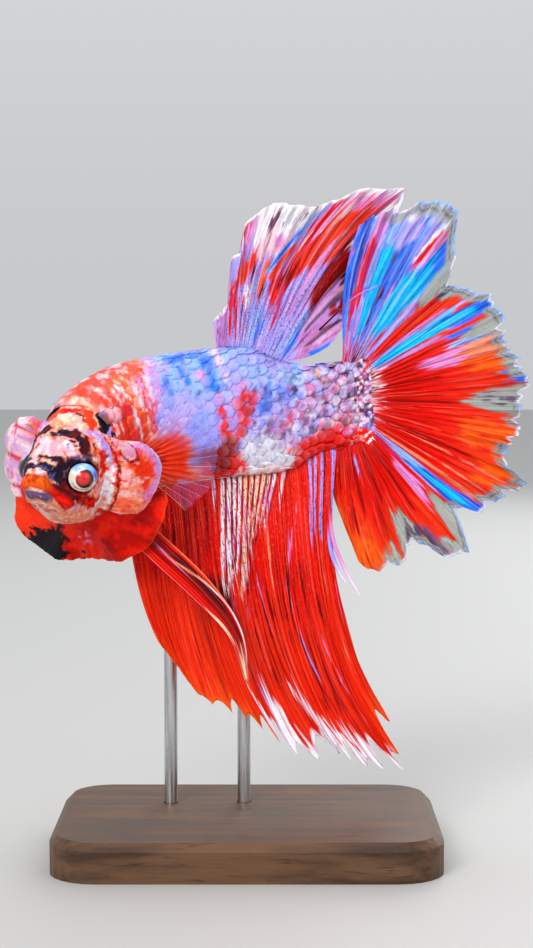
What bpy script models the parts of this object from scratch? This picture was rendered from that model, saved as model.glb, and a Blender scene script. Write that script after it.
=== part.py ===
"""A halfmoon betta fish at life size, held above a flat base by two rods.

Metres, +Z up. The origin is the middle of the base's underside. The fish swims towards -X
and turns its head towards -Y, so its left side is the one that faces -Y.
The sizes below are millimetres, and MM turns them into metres.
"""

import math

import bpy
import numpy as np
from mathutils import Matrix

MM = 0.001

# ---- Driving dimensions ----
BODY_LENGTH = 42.0  # snout to tail root, along the spine
TAIL_ROOT = (11.0, 4.0, 47.2)  # where the spine ends, the origin of the fish's own frame
HEAD_YAW, TAIL_YAW = 66.0, 4.0  # tailward direction, degrees from +X towards +Y
HEAD_RISE, TAIL_RISE = 18.0, 5.5  # how far the tailward direction climbs
HEAD_ROLL = 8.0  # the head leans over to its left
BEND_START, BEND_END = 10.5, 26.0  # the stretch of spine that bends
CUT = 0.3  # the gap between neighbouring pieces
FIN_THICKNESS = 0.5
EYE_RADIUS = 1.6
BASE_SIZE = (40.0, 28.0, 4.0)
BASE_CORNER = 5.0
ROD_RADIUS = 0.7
ROD_SOCKET_GAP = 0.1

# Height above the spine, depth below it and half width of the body at stations along it.
BODY_SECTIONS = (
    (0.0, 1.1, 0.5, 0.9),
    (0.35, 1.5, 1.4, 1.5),
    (1.0, 1.9, 2.2, 2.0),
    (2.2, 2.55, 3.6, 2.7),
    (4.5, 3.6, 5.6, 3.3),
    (7.5, 4.9, 6.5, 4.0),
    (11.0, 6.0, 6.4, 4.6),
    (15.0, 6.5, 6.6, 4.6),
    (20.0, 6.8, 6.8, 4.2),
    (28.0, 7.0, 6.6, 3.2),
    (31.5, 6.6, 6.6, 2.6),
    (35.0, 4.9, 6.3, 2.1),
    (38.0, 4.3, 5.0, 1.6),
    (41.0, 4.2, 4.6, 1.1),
    (42.0, 3.8, 4.1, 0.8),
)
SQUARENESS = 2.25  # of the body's superelliptic sections, where 2 is an ellipse
HEAD_END, MID_CUT, STEM_CUT = 10.6, 21.0, 31.5  # where the body is parted


# ---- Curves and the spine ----
def ease(value, low, high):
    x = min(1.0, max(0.0, (value - low) / (high - low)))
    return x * x * (3 - 2 * x)


def flow(rows, at):
    """A smooth curve without overshoot through rows of (place, value, ...), read at one place."""
    rows = np.array(rows, float)
    x, y = rows[:, 0], rows[:, 1:]
    step = np.diff(x)
    slope = np.diff(y, axis=0) / step[:, None]
    tangent = np.vstack([slope[:1], (slope[1:] + slope[:-1]) / 2, slope[-1:]])
    same_way = slope[1:] * slope[:-1] > 0
    limit = 3 * np.minimum(abs(slope[1:]), abs(slope[:-1]))
    tangent[1:-1] = np.where(same_way, np.clip(tangent[1:-1], -limit, limit), 0)
    i = int(np.clip(np.searchsorted(x, at) - 1, 0, len(step) - 1))
    u = (at - x[i]) / step[i]
    return (
        y[i] * (1 + 2 * u) * (1 - u) ** 2
        + y[i + 1] * u * u * (3 - 2 * u)
        + step[i] * (tangent[i] * u * (1 - u) ** 2 - tangent[i + 1] * u * u * (1 - u))
    )


def directions(s):
    """The tailward, right and up directions of the body at spine length s."""
    turn = ease(s, BEND_START, BEND_END)
    yaw = math.radians(HEAD_YAW + (TAIL_YAW - HEAD_YAW) * turn)
    rise = math.radians(HEAD_RISE + (TAIL_RISE - HEAD_RISE) * turn)
    roll = math.radians(HEAD_ROLL * (1 - turn))
    back = np.array(
        [math.cos(rise) * math.cos(yaw), math.cos(rise) * math.sin(yaw), math.sin(rise)]
    )
    level_right = np.array([-math.sin(yaw), math.cos(yaw), 0.0])
    level_up = np.cross(back, level_right)
    right = level_right * math.cos(roll) + level_up * math.sin(roll)
    up = level_up * math.cos(roll) - level_right * math.sin(roll)
    return back, right, up


SPINE_STEP = 0.25
SPINE_STATIONS = np.arange(0, BODY_LENGTH + SPINE_STEP / 2, SPINE_STEP)


def spine_points():
    """The spine, stepped forward from the tail root, which is the fish frame's origin."""
    points = [np.zeros(3)]
    for s in SPINE_STATIONS[:0:-1]:
        points.append(points[-1] - SPINE_STEP * directions(s - SPINE_STEP / 2)[0])
    return np.array(points[::-1])


SPINE = spine_points()


def on_body(s, right, up):
    """A point beside the spine, in the fish frame."""
    inside = min(BODY_LENGTH, max(0.0, s))
    middle = [np.interp(inside, SPINE_STATIONS, SPINE[:, axis]) for axis in range(3)]
    back, rightward, upward = directions(inside)
    return np.array(middle) + (s - inside) * back + right * rightward + up * upward


def body_outline(s, angle):
    """(right, up) of the skin at spine length s; angle 0 is the right side, pi / 2 the back."""
    height, depth, half_width = flow(BODY_SECTIONS, s)
    power = 2 / SQUARENESS
    right = math.copysign(abs(math.cos(angle)) ** power, math.cos(angle)) * half_width
    up = math.copysign(abs(math.sin(angle)) ** power, math.sin(angle))
    return right, up * (height if up > 0 else depth)


# ---- Making objects ----
def finish(name, color, roughness, metallic=0.0):
    material = bpy.data.materials.new(name)
    material.use_nodes = True
    shader = material.node_tree.nodes["Principled BSDF"]
    shader.inputs["Base Color"].default_value = (*color, 1.0)
    shader.inputs["Roughness"].default_value = roughness
    shader.inputs["Metallic"].default_value = metallic
    return material


def solid(name, points, faces, material, parent=None, smooth_below=40):
    """One named mesh object; points are millimetres in the parent's frame."""
    mesh = bpy.data.meshes.new(name)
    mesh.from_pydata([tuple(np.array(p) * MM) for p in points], [], faces)
    mesh.materials.append(material)
    mesh.shade_smooth()
    mesh.set_sharp_from_angle(angle=math.radians(smooth_below))
    piece = bpy.data.objects.new(name, mesh)
    bpy.context.scene.collection.objects.link(piece)
    piece.parent = parent
    return piece


def marker(name, back, right, up, place, parent=None):
    """An empty whose X, Y and Z lie along back, right and up."""
    empty = bpy.data.objects.new(name, None)
    bpy.context.scene.collection.objects.link(empty)
    empty.parent = parent
    turn = Matrix([back, right, up]).transposed()
    empty.matrix_local = Matrix.Translation([c * MM for c in place]) @ turn.to_4x4()
    return empty


def loft(name, rings, material, parent):
    """A closed solid through rings of equally many points, capped at both ends."""
    count = len(rings[0])
    faces = [tuple(range(count - 1, -1, -1))]
    for ring in range(len(rings) - 1):
        for i in range(count):
            a, b = ring * count + i, ring * count + (i + 1) % count
            faces.append((a, b, b + count, a + count))
    last = (len(rings) - 1) * count
    faces.append(tuple(range(last, last + count)))
    return solid(name, [p for ring in rings for p in ring], faces, material, parent)


def blade(name, grid, thickness, material, parent):
    """A closed sheet of even thickness over a grid of points; grid[i][j] runs root to edge in j."""
    middle = np.array(grid)
    along, across = np.gradient(middle, axis=0), np.gradient(middle, axis=1)
    normal = np.cross(along, across)
    normal /= np.linalg.norm(normal, axis=2, keepdims=True)
    rows, cols = middle.shape[:2]
    one_side = middle + normal * thickness / 2
    other_side = middle - normal * thickness / 2
    points = [*one_side.reshape(-1, 3), *other_side.reshape(-1, 3)]
    half = rows * cols
    faces = []
    for i in range(rows - 1):
        for j in range(cols - 1):
            a, b = i * cols + j, (i + 1) * cols + j
            faces.append((a, b, b + 1, a + 1))
            faces.append((half + a, half + a + 1, half + b + 1, half + b))
    rim = [i * cols for i in range(rows)]
    rim += [(rows - 1) * cols + j for j in range(1, cols)]
    rim += [i * cols + cols - 1 for i in range(rows - 2, -1, -1)]
    rim += list(range(cols - 2, 0, -1))
    for a, b in zip(rim, rim[1:] + rim[:1]):
        faces.append((b, a, half + a, half + b))
    return solid(name, points, faces, material, parent)


def cut(piece, cutter, operation="DIFFERENCE"):
    cutter.hide_render = True
    cutter.display_type = "WIRE"
    change = piece.modifiers.new(cutter.name, "BOOLEAN")
    change.object = cutter
    change.operation = operation
    change.solver = "EXACT"


def prism(name, outline, half_width, material, parent):
    """An upright (X, Z) outline drawn out sideways, from -Y to +Y."""
    count = len(outline)
    points = [(x, -half_width, z) for x, z in outline] + [(x, half_width, z) for x, z in outline]
    faces = [tuple(range(count - 1, -1, -1)), tuple(range(count, 2 * count))]
    for i in range(count):
        j = (i + 1) % count
        faces.append((i, j, count + j, count + i))
    return solid(name, points, faces, material, parent)


def round_bar(name, radius, length, material, place, sides=20):
    """An upright bar; place is the middle of its lower end."""
    rings = [
        [
            (radius * math.cos(2 * math.pi * i / sides), radius * math.sin(2 * math.pi * i / sides), z)
            for i in range(sides)
        ]
        for z in (0, length)
    ]
    piece = loft(name, rings, material, None)
    piece.location = [c * MM for c in place]
    return piece


def ball(name, radius, material, parent, place, rows=10, sides=16):
    points = [(0, 0, -radius)]
    for i in range(1, rows):
        tilt = math.pi * i / rows - math.pi / 2
        for j in range(sides):
            turn = 2 * math.pi * j / sides
            flat = radius * math.cos(tilt)
            points.append((flat * math.cos(turn), flat * math.sin(turn), radius * math.sin(tilt)))
    points.append((0, 0, radius))
    top = len(points) - 1
    faces = []
    for j in range(sides):
        k = (j + 1) % sides
        faces.append((0, 1 + k, 1 + j))
        faces.append((top, top - sides + j, top - sides + k))
        for i in range(rows - 2):
            a, b = 1 + i * sides + j, 1 + i * sides + k
            faces.append((a, b, b + sides, a + sides))
    piece = solid(name, points, faces, material, parent)
    piece.location = [c * MM for c in place]
    return piece


# ---- The scene ----
for old in list(bpy.data.objects):
    bpy.data.objects.remove(old)

HEAD_SKIN = finish("head_skin", (0.80, 0.52, 0.45), 0.35)
BODY_SCALES = finish("body_scales", (0.50, 0.55, 0.82), 0.3, 0.3)
TAIL_SCALES = finish("tail_scales", (0.62, 0.40, 0.62), 0.3, 0.3)
GILL_RED = finish("gill_red", (0.66, 0.02, 0.02), 0.4)
FIN_RED = finish("fin_red", (0.82, 0.04, 0.02), 0.35)
FIN_BLUE = finish("fin_blue", (0.22, 0.42, 0.85), 0.3)
FIN_PALE = finish("fin_pale", (0.85, 0.60, 0.66), 0.35)
EYE = finish("eye", (0.03, 0.01, 0.01), 0.08)
STAND_WOOD = finish("stand_wood", (0.10, 0.05, 0.03), 0.45)
STAND_STEEL = finish("stand_steel", (0.62, 0.62, 0.63), 0.25, 1.0)

fish = marker("fish", (1, 0, 0), (0, 1, 0), (0, 0, 1), TAIL_ROOT)


# ---- Body: one loft along the spine, parted by thin cuts ----
BODY_SIDES = 28


def body_ring(s):
    angles = [2 * math.pi * i / BODY_SIDES for i in range(BODY_SIDES)]
    return [on_body(s, *body_outline(s, angle)) for angle in angles]


def body_length(name, start, end, steps, material):
    stations = [start + (end - start) * i / steps for i in range(steps + 1)]
    return loft(name, [body_ring(s) for s in stations], material, fish)


# The snout is blunt, so its rings crowd towards the front.
HEAD_RINGS = 12
head_stations = [(HEAD_END - CUT / 2) * (i / (HEAD_RINGS - 1)) ** 1.6 for i in range(HEAD_RINGS)]
head = loft("head", [body_ring(s) for s in head_stations], HEAD_SKIN, fish)
lower_jaw = loft("lower_jaw", [body_ring(s) for s in head_stations], HEAD_SKIN, fish)
trunk_front = body_length("trunk_front", HEAD_END + CUT / 2, MID_CUT - CUT / 2, 9, BODY_SCALES)
trunk_rear = body_length("trunk_rear", MID_CUT + CUT / 2, STEM_CUT - CUT / 2, 6, BODY_SCALES)
tail_stem = body_length("tail_stem", STEM_CUT + CUT / 2, BODY_LENGTH, 8, TAIL_SCALES)

# The head's own frame starts at the snout: X back, Y right, Z up.
head_frame = marker("head_frame", *directions(0.0), on_body(0.0, 0, 0), fish)


# ---- Mouth: the jaw is the wedge below the gape ----
GAPE = ((-2.0, 0.35), (0.5, 0.0), (2.6, -2.3), (6.0, -4.3))  # mouth line, then the cheek's edge
JAW_BOTTOM = -9.0


def jaw_outline(shift):
    lowered = [(x, z - shift) for x, z in GAPE]
    rear = GAPE[-1][0] - shift
    return [*lowered[:-1], (rear, lowered[-1][1]), (rear, JAW_BOTTOM), (-2.0, JAW_BOTTOM)]


jaw_space = prism("jaw_space", jaw_outline(0.0), 8.0, HEAD_SKIN, head_frame)
jaw_wedge = prism("jaw_wedge", jaw_outline(CUT), 8.0, HEAD_SKIN, head_frame)
cut(head, jaw_space)
cut(lower_jaw, jaw_wedge, "INTERSECT")


# ---- Eyes, set in sockets of their own shape ----
EYE_PLACE = (4.6, 2.65, -0.05)  # back, out to the side, up

for side, hand in ((1, "right"), (-1, "left")):
    place = (EYE_PLACE[0], side * EYE_PLACE[1], EYE_PLACE[2])
    ball(f"eye_{hand}", EYE_RADIUS, EYE, head_frame, place)
    socket = ball(f"eye_socket_{hand}", EYE_RADIUS + CUT / 2, HEAD_SKIN, head_frame, place)
    cut(head, socket)


# ---- Gill covers, flared away from the head ----
# Free edge of each cover, from its top to its bottom: back, out to the side, up.
COVER_EDGE = {
    "left": ((8.8, 4.9, 3.1), (10.4, 7.3, 2.0), (11.1, 8.4, -0.5), (10.4, 8.0, -3.4), (9.2, 6.6, -5.2)),
    "right": ((8.8, 5.2, 3.0), (10.6, 8.2, 1.7), (11.2, 9.7, -1.4), (10.6, 9.4, -4.2), (9.4, 7.8, -6.0)),
}
COVER_ROOT = (7.7, 48.0, -44.0)  # back from the snout, and its top and bottom angles
COVER_BULGE = 0.8


def head_skin_point(back, angle, side, lift):
    right, up = body_outline(back, math.radians(angle))
    grow = 1 + lift / math.hypot(right, up)
    return np.array([back, side * right * grow, up * grow])


def cover_grid(side, edge, rows=12, cols=6):
    back, top, bottom = COVER_ROOT
    knots = [(i / (len(edge) - 1), *point) for i, point in enumerate(edge)]
    grid = []
    for i in range(rows):
        v = i / (rows - 1)
        root = head_skin_point(back, top + (bottom - top) * v, side, CUT + FIN_THICKNESS / 2)
        tip = flow(knots, v) * np.array([1, side, 1])
        row = []
        for j in range(cols):
            u = j / (cols - 1)
            bulge = COVER_BULGE * math.sin(math.pi * u) * (0.4 + 0.6 * math.sin(math.pi * v))
            row.append(root + (tip - root) * u - np.array([bulge, -side * bulge * 0.4, 0]))
        grid.append(row)
    return grid


for side, hand in ((1, "right"), (-1, "left")):
    grid = cover_grid(side, COVER_EDGE[hand])
    blade(f"gill_cover_{hand}", grid, FIN_THICKNESS, FIN_PALE, head_frame)


# ---- Beard: the gill membranes that stand out below the throat ----
BEARD_ROOT, BEARD_EDGE = 8.6, 10.4  # back from the snout, at the throat's middle line
BEARD_BACK = 1.3  # how much further back its ends by the gill covers are
BEARD_ANGLES = (-22.0, -89.0)  # of its free edge, from beside the gill cover to the middle line
# The free edge's radius, evenly spaced between those angles.
BEARD_RADII = {"left": (9.8, 10.9, 11.9, 12.3, 12.2), "right": (11.5, 12.5, 12.8, 12.6, 12.2)}
BEARD_LAG = 26  # degrees by which its root starts lower than its edge
BEARD_RUFFLE, BEARD_WAVES = 0.35, 2.5


def beard_grid(side, radii, rows=16, cols=6):
    top, bottom = BEARD_ANGLES
    knots = [(i / (len(radii) - 1), radius) for i, radius in enumerate(radii)]
    grid = []
    for i in range(rows):
        v = i / (rows - 1)
        back = BEARD_BACK * (1 - v) ** 2
        angle = top - BEARD_LAG + (bottom - top + BEARD_LAG) * v
        edge_angle = top + (bottom - top) * v
        root = head_skin_point(BEARD_ROOT + back, angle, side, CUT + FIN_THICKNESS / 2)
        radius = flow(knots, v)[0]
        turn = math.radians(edge_angle)
        tip = np.array([BEARD_EDGE + back, side * radius * math.cos(turn), radius * math.sin(turn)])
        row = []
        for j in range(cols):
            u = j / (cols - 1)
            ruffle = BEARD_RUFFLE * u * math.sin(2 * math.pi * BEARD_WAVES * v)
            row.append(root + (tip - root) * u + np.array([ruffle, 0, 0]))
        grid.append(row)
    return grid


for side, hand in ((1, "right"), (-1, "left")):
    grid = beard_grid(side, BEARD_RADII[hand])
    blade(f"beard_{hand}", grid, FIN_THICKNESS, GILL_RED, head_frame)


# ---- Fins: sheets spanned by rays ----
def fin_grid(root_at, rays, per_ray, steps, ripple=(0, 0)):
    """rays: (place across the fin, tip x, tip y, tip z, bow), the bow being sideways at mid-length."""
    places = [row[0] for row in rays]
    spots = []
    for low, high in zip(places, places[1:]):
        spots += [low + (high - low) * k / per_ray for k in range(per_ray)]
    spots.append(places[-1])
    depth, waves = ripple
    grid = []
    for v in spots:
        *tip, bow = flow(rays, v)
        root = root_at(v)
        chord = np.array(tip) - root
        sideways = np.array([-chord[2], 0, chord[0]]) / math.hypot(chord[0], chord[2])
        row = []
        for j in range(steps + 1):
            u = j / steps
            swing = bow * 4 * u**1.3 * (1 - u)
            wave = np.array([0, depth * u * u * math.sin(2 * math.pi * waves * v), 0])
            row.append(root + chord * u + sideways * swing + wave)
        grid.append(row)
    return grid


def ridge(s, above, gap):
    """A point just off the back's ridge, or off the belly's."""
    height, depth, _ = flow(BODY_SECTIONS, s)
    return on_body(s, 0, height + gap if above else -(depth + gap))


DORSAL_SPAN = (28.3, 35.8)
DORSAL_RAYS = (
    (0.00, -14.6, -1.4, 8.4, 0.0),
    (0.08, -12.9, -1.6, 11.0, 0.0),
    (0.17, -12.0, -1.8, 15.2, 0.2),
    (0.27, -9.9, -1.8, 19.2, 0.4),
    (0.38, -7.3, -1.4, 20.6, 0.7),
    (0.50, -4.2, -0.4, 20.8, 1.0),
    (0.61, -1.2, 1.0, 21.7, 1.3),
    (0.71, 2.2, 2.5, 22.9, 1.6),
    (0.80, 6.2, 4.0, 22.9, 2.0),
    (0.86, 4.5, 4.0, 17.8, 1.6),
    (0.905, 1.2, 3.6, 14.9, 1.2),
    (0.93, -1.5, 2.2, 12.0, 0.6),
    (0.955, -1.5, -0.9, 10.0, 0.6),
    (1.00, 2.6, -2.0, 12.2, 0.8),
)


def dorsal_root(v):
    start, end = DORSAL_SPAN
    return ridge(start + (end - start) * v, True, CUT)


grid = fin_grid(dorsal_root, DORSAL_RAYS, 2, 8, ripple=(0.25, 4))
blade("fin_dorsal", grid, FIN_THICKNESS, FIN_PALE, fish)

# Caudal tips, from the top edge round to the bottom: degrees above straight back, and length.
CAUDAL_TIPS = (
    (87, 19.0), (81, 20.9), (75, 22.1), (70, 22.8), (65, 24.0), (59, 22.8), (55, 19.8), (51, 17.5),
    (45, 17.4), (37, 19.0), (31, 19.2), (24, 18.4), (14, 19.1), (5, 19.7), (-2, 18.6), (-9, 18.8),
    (-20, 18.2), (-25, 21.2), (-31, 20.0), (-40, 18.5), (-46, 16.7), (-52, 21.2), (-58, 20.0),
    (-66, 16.8), (-71, 18.3), (-78, 18.6), (-85, 18.4), (-90, 14.4), (-96, 12.4),
)
CAUDAL_ROOT_TOP, CAUDAL_ROOT_BOTTOM = 4.7, -5.0
CAUDAL_ROOT_BULGE = (-0.5, 1.1)  # where the root's ends lie along the spine, and its middle behind them
CAUDAL_LEAN = 0.6  # how far the outer rays' tips lie to the right of the middle ones


def caudal_root(v):
    z = CAUDAL_ROOT_TOP + (CAUDAL_ROOT_BOTTOM - CAUDAL_ROOT_TOP) * v
    ends, bulge = CAUDAL_ROOT_BULGE
    return on_body(BODY_LENGTH + ends + bulge * (1 - (2 * v - 1) ** 4), 0, z)


def caudal_rays():
    top, bottom = CAUDAL_TIPS[0][0], CAUDAL_TIPS[-1][0]
    rays = []
    for degrees, length in CAUDAL_TIPS:
        v = (top - degrees) / (top - bottom)
        turn = math.radians(degrees)
        side = CAUDAL_LEAN * (2 * v - 1) ** 2
        bow = 1.0 * (1 - 2 * v) ** 3 * length / 19
        rays.append((v, length * math.cos(turn), side, length * math.sin(turn), bow))
    return rays


grid = fin_grid(caudal_root, caudal_rays(), 1, 8, ripple=(0.45, 5))
blade("fin_caudal", grid, FIN_THICKNESS, FIN_BLUE, fish)

ANAL_SPAN = (16.5, 40.0)
ANAL_RAYS = (
    (0.00, -20.3, -3.6, -25.3, -1.0),
    (0.08, -18.1, -3.4, -28.3, -1.1),
    (0.18, -15.7, -3.2, -31.2, -1.2),
    (0.28, -12.0, -3.0, -33.2, -1.5),
    (0.38, -9.0, -2.8, -34.9, -1.8),
    (0.48, -5.4, -2.5, -37.6, -2.2),
    (0.53, -3.3, -2.3, -38.1, -2.4),
    (0.57, -2.8, -2.2, -36.3, -2.6),
    (0.66, -0.4, -2.0, -38.0, -3.0),
    (0.77, 2.8, -1.7, -39.2, -3.6),
    (0.86, 6.1, -1.4, -39.7, -4.0),
    (0.90, 5.0, -1.2, -37.2, -3.6),
    (0.95, 4.0, -1.1, -33.7, -2.8),
    (0.98, 1.0, -1.1, -28.0, -1.8),
    (1.00, -2.0, -1.2, -18.0, -0.4),
)


def anal_root(v):
    start, end = ANAL_SPAN
    return ridge(start + (end - start) * v, False, CUT)


grid = fin_grid(anal_root, ANAL_RAYS, 2, 10, ripple=(0.35, 4))
blade("fin_anal", grid, FIN_THICKNESS, FIN_RED, fish)

# Pectoral fins: fans from a short root behind the gill covers.
PECTORAL_STATION = 13.2
PECTORAL_ROOT_ANGLES = (-2.0, -22.0)
# Degrees above straight back of the top and bottom ray, and degrees away from the body.
PECTORAL_SPREAD = {"left": (50.0, -46.0), "right": (24.0, -70.0)}
PECTORAL_LENGTH = 8.6
PECTORAL_OUT = {"left": 46.0, "right": 34.0}


def pectoral_grid(side, spread, outward, rows=11, cols=6):
    back, rightward, upward = directions(PECTORAL_STATION)
    grid = []
    for i in range(rows):
        v = i / (rows - 1)
        root_angle = PECTORAL_ROOT_ANGLES[0] + (PECTORAL_ROOT_ANGLES[1] - PECTORAL_ROOT_ANGLES[0]) * v
        right, up = body_outline(PECTORAL_STATION, math.radians(root_angle))
        root = on_body(PECTORAL_STATION, side * (right + CUT + FIN_THICKNESS / 2), up)
        lift = math.radians(spread[0] + (spread[1] - spread[0]) * v)
        out = math.radians(outward)
        level = back * math.cos(out) + side * rightward * math.sin(out)
        ray = level * math.cos(lift) + upward * math.sin(lift)
        length = PECTORAL_LENGTH * (0.82 + 0.18 * math.sin(math.pi * v))
        row = []
        for j in range(cols):
            u = j / (cols - 1)
            row.append(root + ray * length * u + side * rightward * 0.5 * math.sin(math.pi * u))
        grid.append(row)
    return grid


for side, hand in ((1, "right"), (-1, "left")):
    grid = pectoral_grid(side, PECTORAL_SPREAD[hand], PECTORAL_OUT[hand])
    blade(f"fin_pectoral_{hand}", grid, FIN_THICKNESS, FIN_PALE, fish)

# Ventral fins: long narrow blades. Middle line (x, y, z) and the width across it, root to tip.
VENTRAL_STATION = 13.8
VENTRAL_LINE = {
    "left": (
        (0.20, -23.8, -5.9, -11.8, 1.8),
        (0.42, -19.9, -7.0, -15.2, 2.6),
        (0.62, -15.5, -7.2, -19.4, 2.4),
        (0.82, -12.2, -7.2, -23.8, 1.4),
        (1.00, -11.0, -7.0, -28.9, 0.3),
    ),
    "right": (
        (0.25, -24.2, 2.6, -13.0, 1.8),
        (0.45, -22.4, 4.0, -16.4, 2.4),
        (0.65, -20.4, 5.0, -20.0, 2.2),
        (0.85, -18.6, 5.6, -23.4, 1.3),
        (1.00, -17.6, 5.8, -26.4, 0.3),
    ),
}
VENTRAL_ROOT_OUT, VENTRAL_ROOT_DOWN, VENTRAL_ROOT_WIDTH = 1.3, 0.6, 1.2


def ventral_grid(side, line, steps=14, across=2):
    _, depth, _ = flow(BODY_SECTIONS, VENTRAL_STATION)
    root = on_body(VENTRAL_STATION, side * VENTRAL_ROOT_OUT, -(depth + VENTRAL_ROOT_DOWN))
    rows = [(0.0, *root, VENTRAL_ROOT_WIDTH), *line]
    places = [i / steps for i in range(steps + 1)]
    middle = np.array([flow(rows, t)[:3] for t in places])
    widths = [flow(rows, t)[3] for t in places]
    heading = np.gradient(middle, axis=0)
    grid = []
    for point, width, run in zip(middle, widths, heading):
        across_line = np.array([-run[2], 0, run[0]]) / math.hypot(run[0], run[2])
        grid.append([point + across_line * width * (k / across - 0.5) for k in range(across + 1)])
    return grid


for side, hand in ((1, "right"), (-1, "left")):
    grid = ventral_grid(side, VENTRAL_LINE[hand])
    blade(f"fin_ventral_{hand}", grid, FIN_THICKNESS, FIN_RED, fish)


# ---- Stand ----
def rounded_rectangle(length, width, corner, inset, z, per_corner=6):
    ring = []
    for quarter, (sx, sy) in enumerate(((1, 1), (-1, 1), (-1, -1), (1, -1))):
        for k in range(per_corner + 1):
            turn = math.pi / 2 * (quarter + k / per_corner)
            x = sx * (length / 2 - corner) + (corner - inset) * math.cos(turn)
            y = sy * (width / 2 - corner) + (corner - inset) * math.sin(turn)
            ring.append((x, y, z))
    return ring


BASE_EDGE = 0.8  # the chamfer round the base's top
length, width, height = BASE_SIZE
base_rings = [
    rounded_rectangle(length, width, BASE_CORNER, 0.0, 0.0),
    rounded_rectangle(length, width, BASE_CORNER, 0.0, height - BASE_EDGE),
    rounded_rectangle(length, width, BASE_CORNER, BASE_EDGE, height),
]
stand_base = loft("stand_base", base_rings, STAND_WOOD, None)

# Each rod: spine length it stands under, how far to the fish's right, and how deep below the
# spine its top ends.
RODS = {"front": (22.6, 1.9, 3.0), "rear": (30.4, 1.75, 2.2)}
ROD_IN_BASE = 2.5

for hand, (station, aside, below) in RODS.items():
    top = on_body(station, aside, -below) + np.array(TAIL_ROOT)
    foot = (top[0], top[1], height - ROD_IN_BASE)
    round_bar(f"stand_rod_{hand}", ROD_RADIUS, top[2] - foot[2], STAND_STEEL, foot)
    hole_foot = (foot[0], foot[1], foot[2] - ROD_SOCKET_GAP)
    hole_height = top[2] - foot[2] + 2 * ROD_SOCKET_GAP
    hole = round_bar(f"rod_hole_{hand}", ROD_RADIUS + ROD_SOCKET_GAP, hole_height, STAND_WOOD, hole_foot)
    cut(stand_base, hole)
    cut(trunk_rear, hole)
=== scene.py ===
"""A halfmoon betta fish at life size, finished as a museum model on its stand.

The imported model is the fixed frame. Sizes here are millimetres in the fish's own frame, whose
origin is the tail root with +X tailward, +Y to the fish's right and +Z up, unless a line says so.
"""

import math

import bpy
import numpy as np
from mathutils import Matrix, Vector


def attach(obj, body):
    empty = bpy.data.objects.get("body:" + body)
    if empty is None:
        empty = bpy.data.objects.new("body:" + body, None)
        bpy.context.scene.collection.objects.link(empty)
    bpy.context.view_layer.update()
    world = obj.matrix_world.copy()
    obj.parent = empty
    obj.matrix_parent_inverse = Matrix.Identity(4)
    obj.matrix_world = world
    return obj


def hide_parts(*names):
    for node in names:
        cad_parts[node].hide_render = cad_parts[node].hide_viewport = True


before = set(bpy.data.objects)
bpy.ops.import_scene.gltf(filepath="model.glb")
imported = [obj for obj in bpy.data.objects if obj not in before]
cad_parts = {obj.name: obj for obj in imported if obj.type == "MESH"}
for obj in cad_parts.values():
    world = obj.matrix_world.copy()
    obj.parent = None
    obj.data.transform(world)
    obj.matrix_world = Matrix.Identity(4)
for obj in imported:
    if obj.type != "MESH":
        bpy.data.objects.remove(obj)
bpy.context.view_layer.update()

# ---- Flesh: one skin from the lips to the tail root ----
# The real fish's head, trunk, tail stem, gill covers and the membranes below the throat are one
# skin. It is cast as one closed mesh over a bent spine, a coat's depth inside the solid body.
MM = 0.001
TAIL_ROOT = np.array([11.0, 4.0, 47.2])  # where the fish's own frame stands, from the base's middle
BODY_LENGTH = 42.0
HEAD_YAW, TAIL_YAW = 66.0, 4.0  # tailward direction, degrees from +X towards +Y
HEAD_RISE, TAIL_RISE = 18.0, 5.5
HEAD_ROLL = 8.0
BEND_START, BEND_END = 10.5, 26.0
# Height above the spine, depth below it and half width of the body at stations along it.
BODY_SECTIONS = (
    (0.0, 1.1, 0.5, 0.9), (0.35, 1.5, 1.4, 1.5), (1.0, 1.9, 2.2, 2.0), (2.2, 2.55, 3.6, 2.7),
    (4.5, 3.6, 5.6, 3.3), (7.5, 4.9, 6.5, 4.0), (11.0, 6.0, 6.4, 4.6), (15.0, 6.5, 6.6, 4.6),
    (20.0, 6.8, 6.8, 4.2), (28.0, 7.0, 6.6, 3.2), (31.5, 6.6, 6.6, 2.6), (35.0, 4.9, 6.3, 2.1),
    (38.0, 4.3, 5.0, 1.6), (41.0, 4.2, 4.6, 1.1), (42.0, 4.1, 4.4, 0.8), (43.2, 4.6, 4.9, 0.42),
    (44.6, 5.3, 5.7, 0.15),
)
FLESH_END = 44.6  # the flesh fairs out over the foot of the tail fin
SECTION_POWER = 2 / 2.25  # of the superelliptic sections
SPINE_STEP = 0.25
SCALE_DEPTH = 0.12  # the scales' coat lies between the skin and the solid body
NAPE = 8.6  # where the scales start
SIDES = ((1, "right"), (-1, "left"))


def ease(value, low, high):
    x = np.clip((value - low) / (high - low), 0, 1)
    return x * x * (3 - 2 * x)


def fade(value, low, high):
    return 1 - ease(value, low, high)


def line_at(value, middle, width):
    """A soft line where a value passes its middle."""
    return np.exp(-(((value - middle) / width) ** 2))


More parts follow.
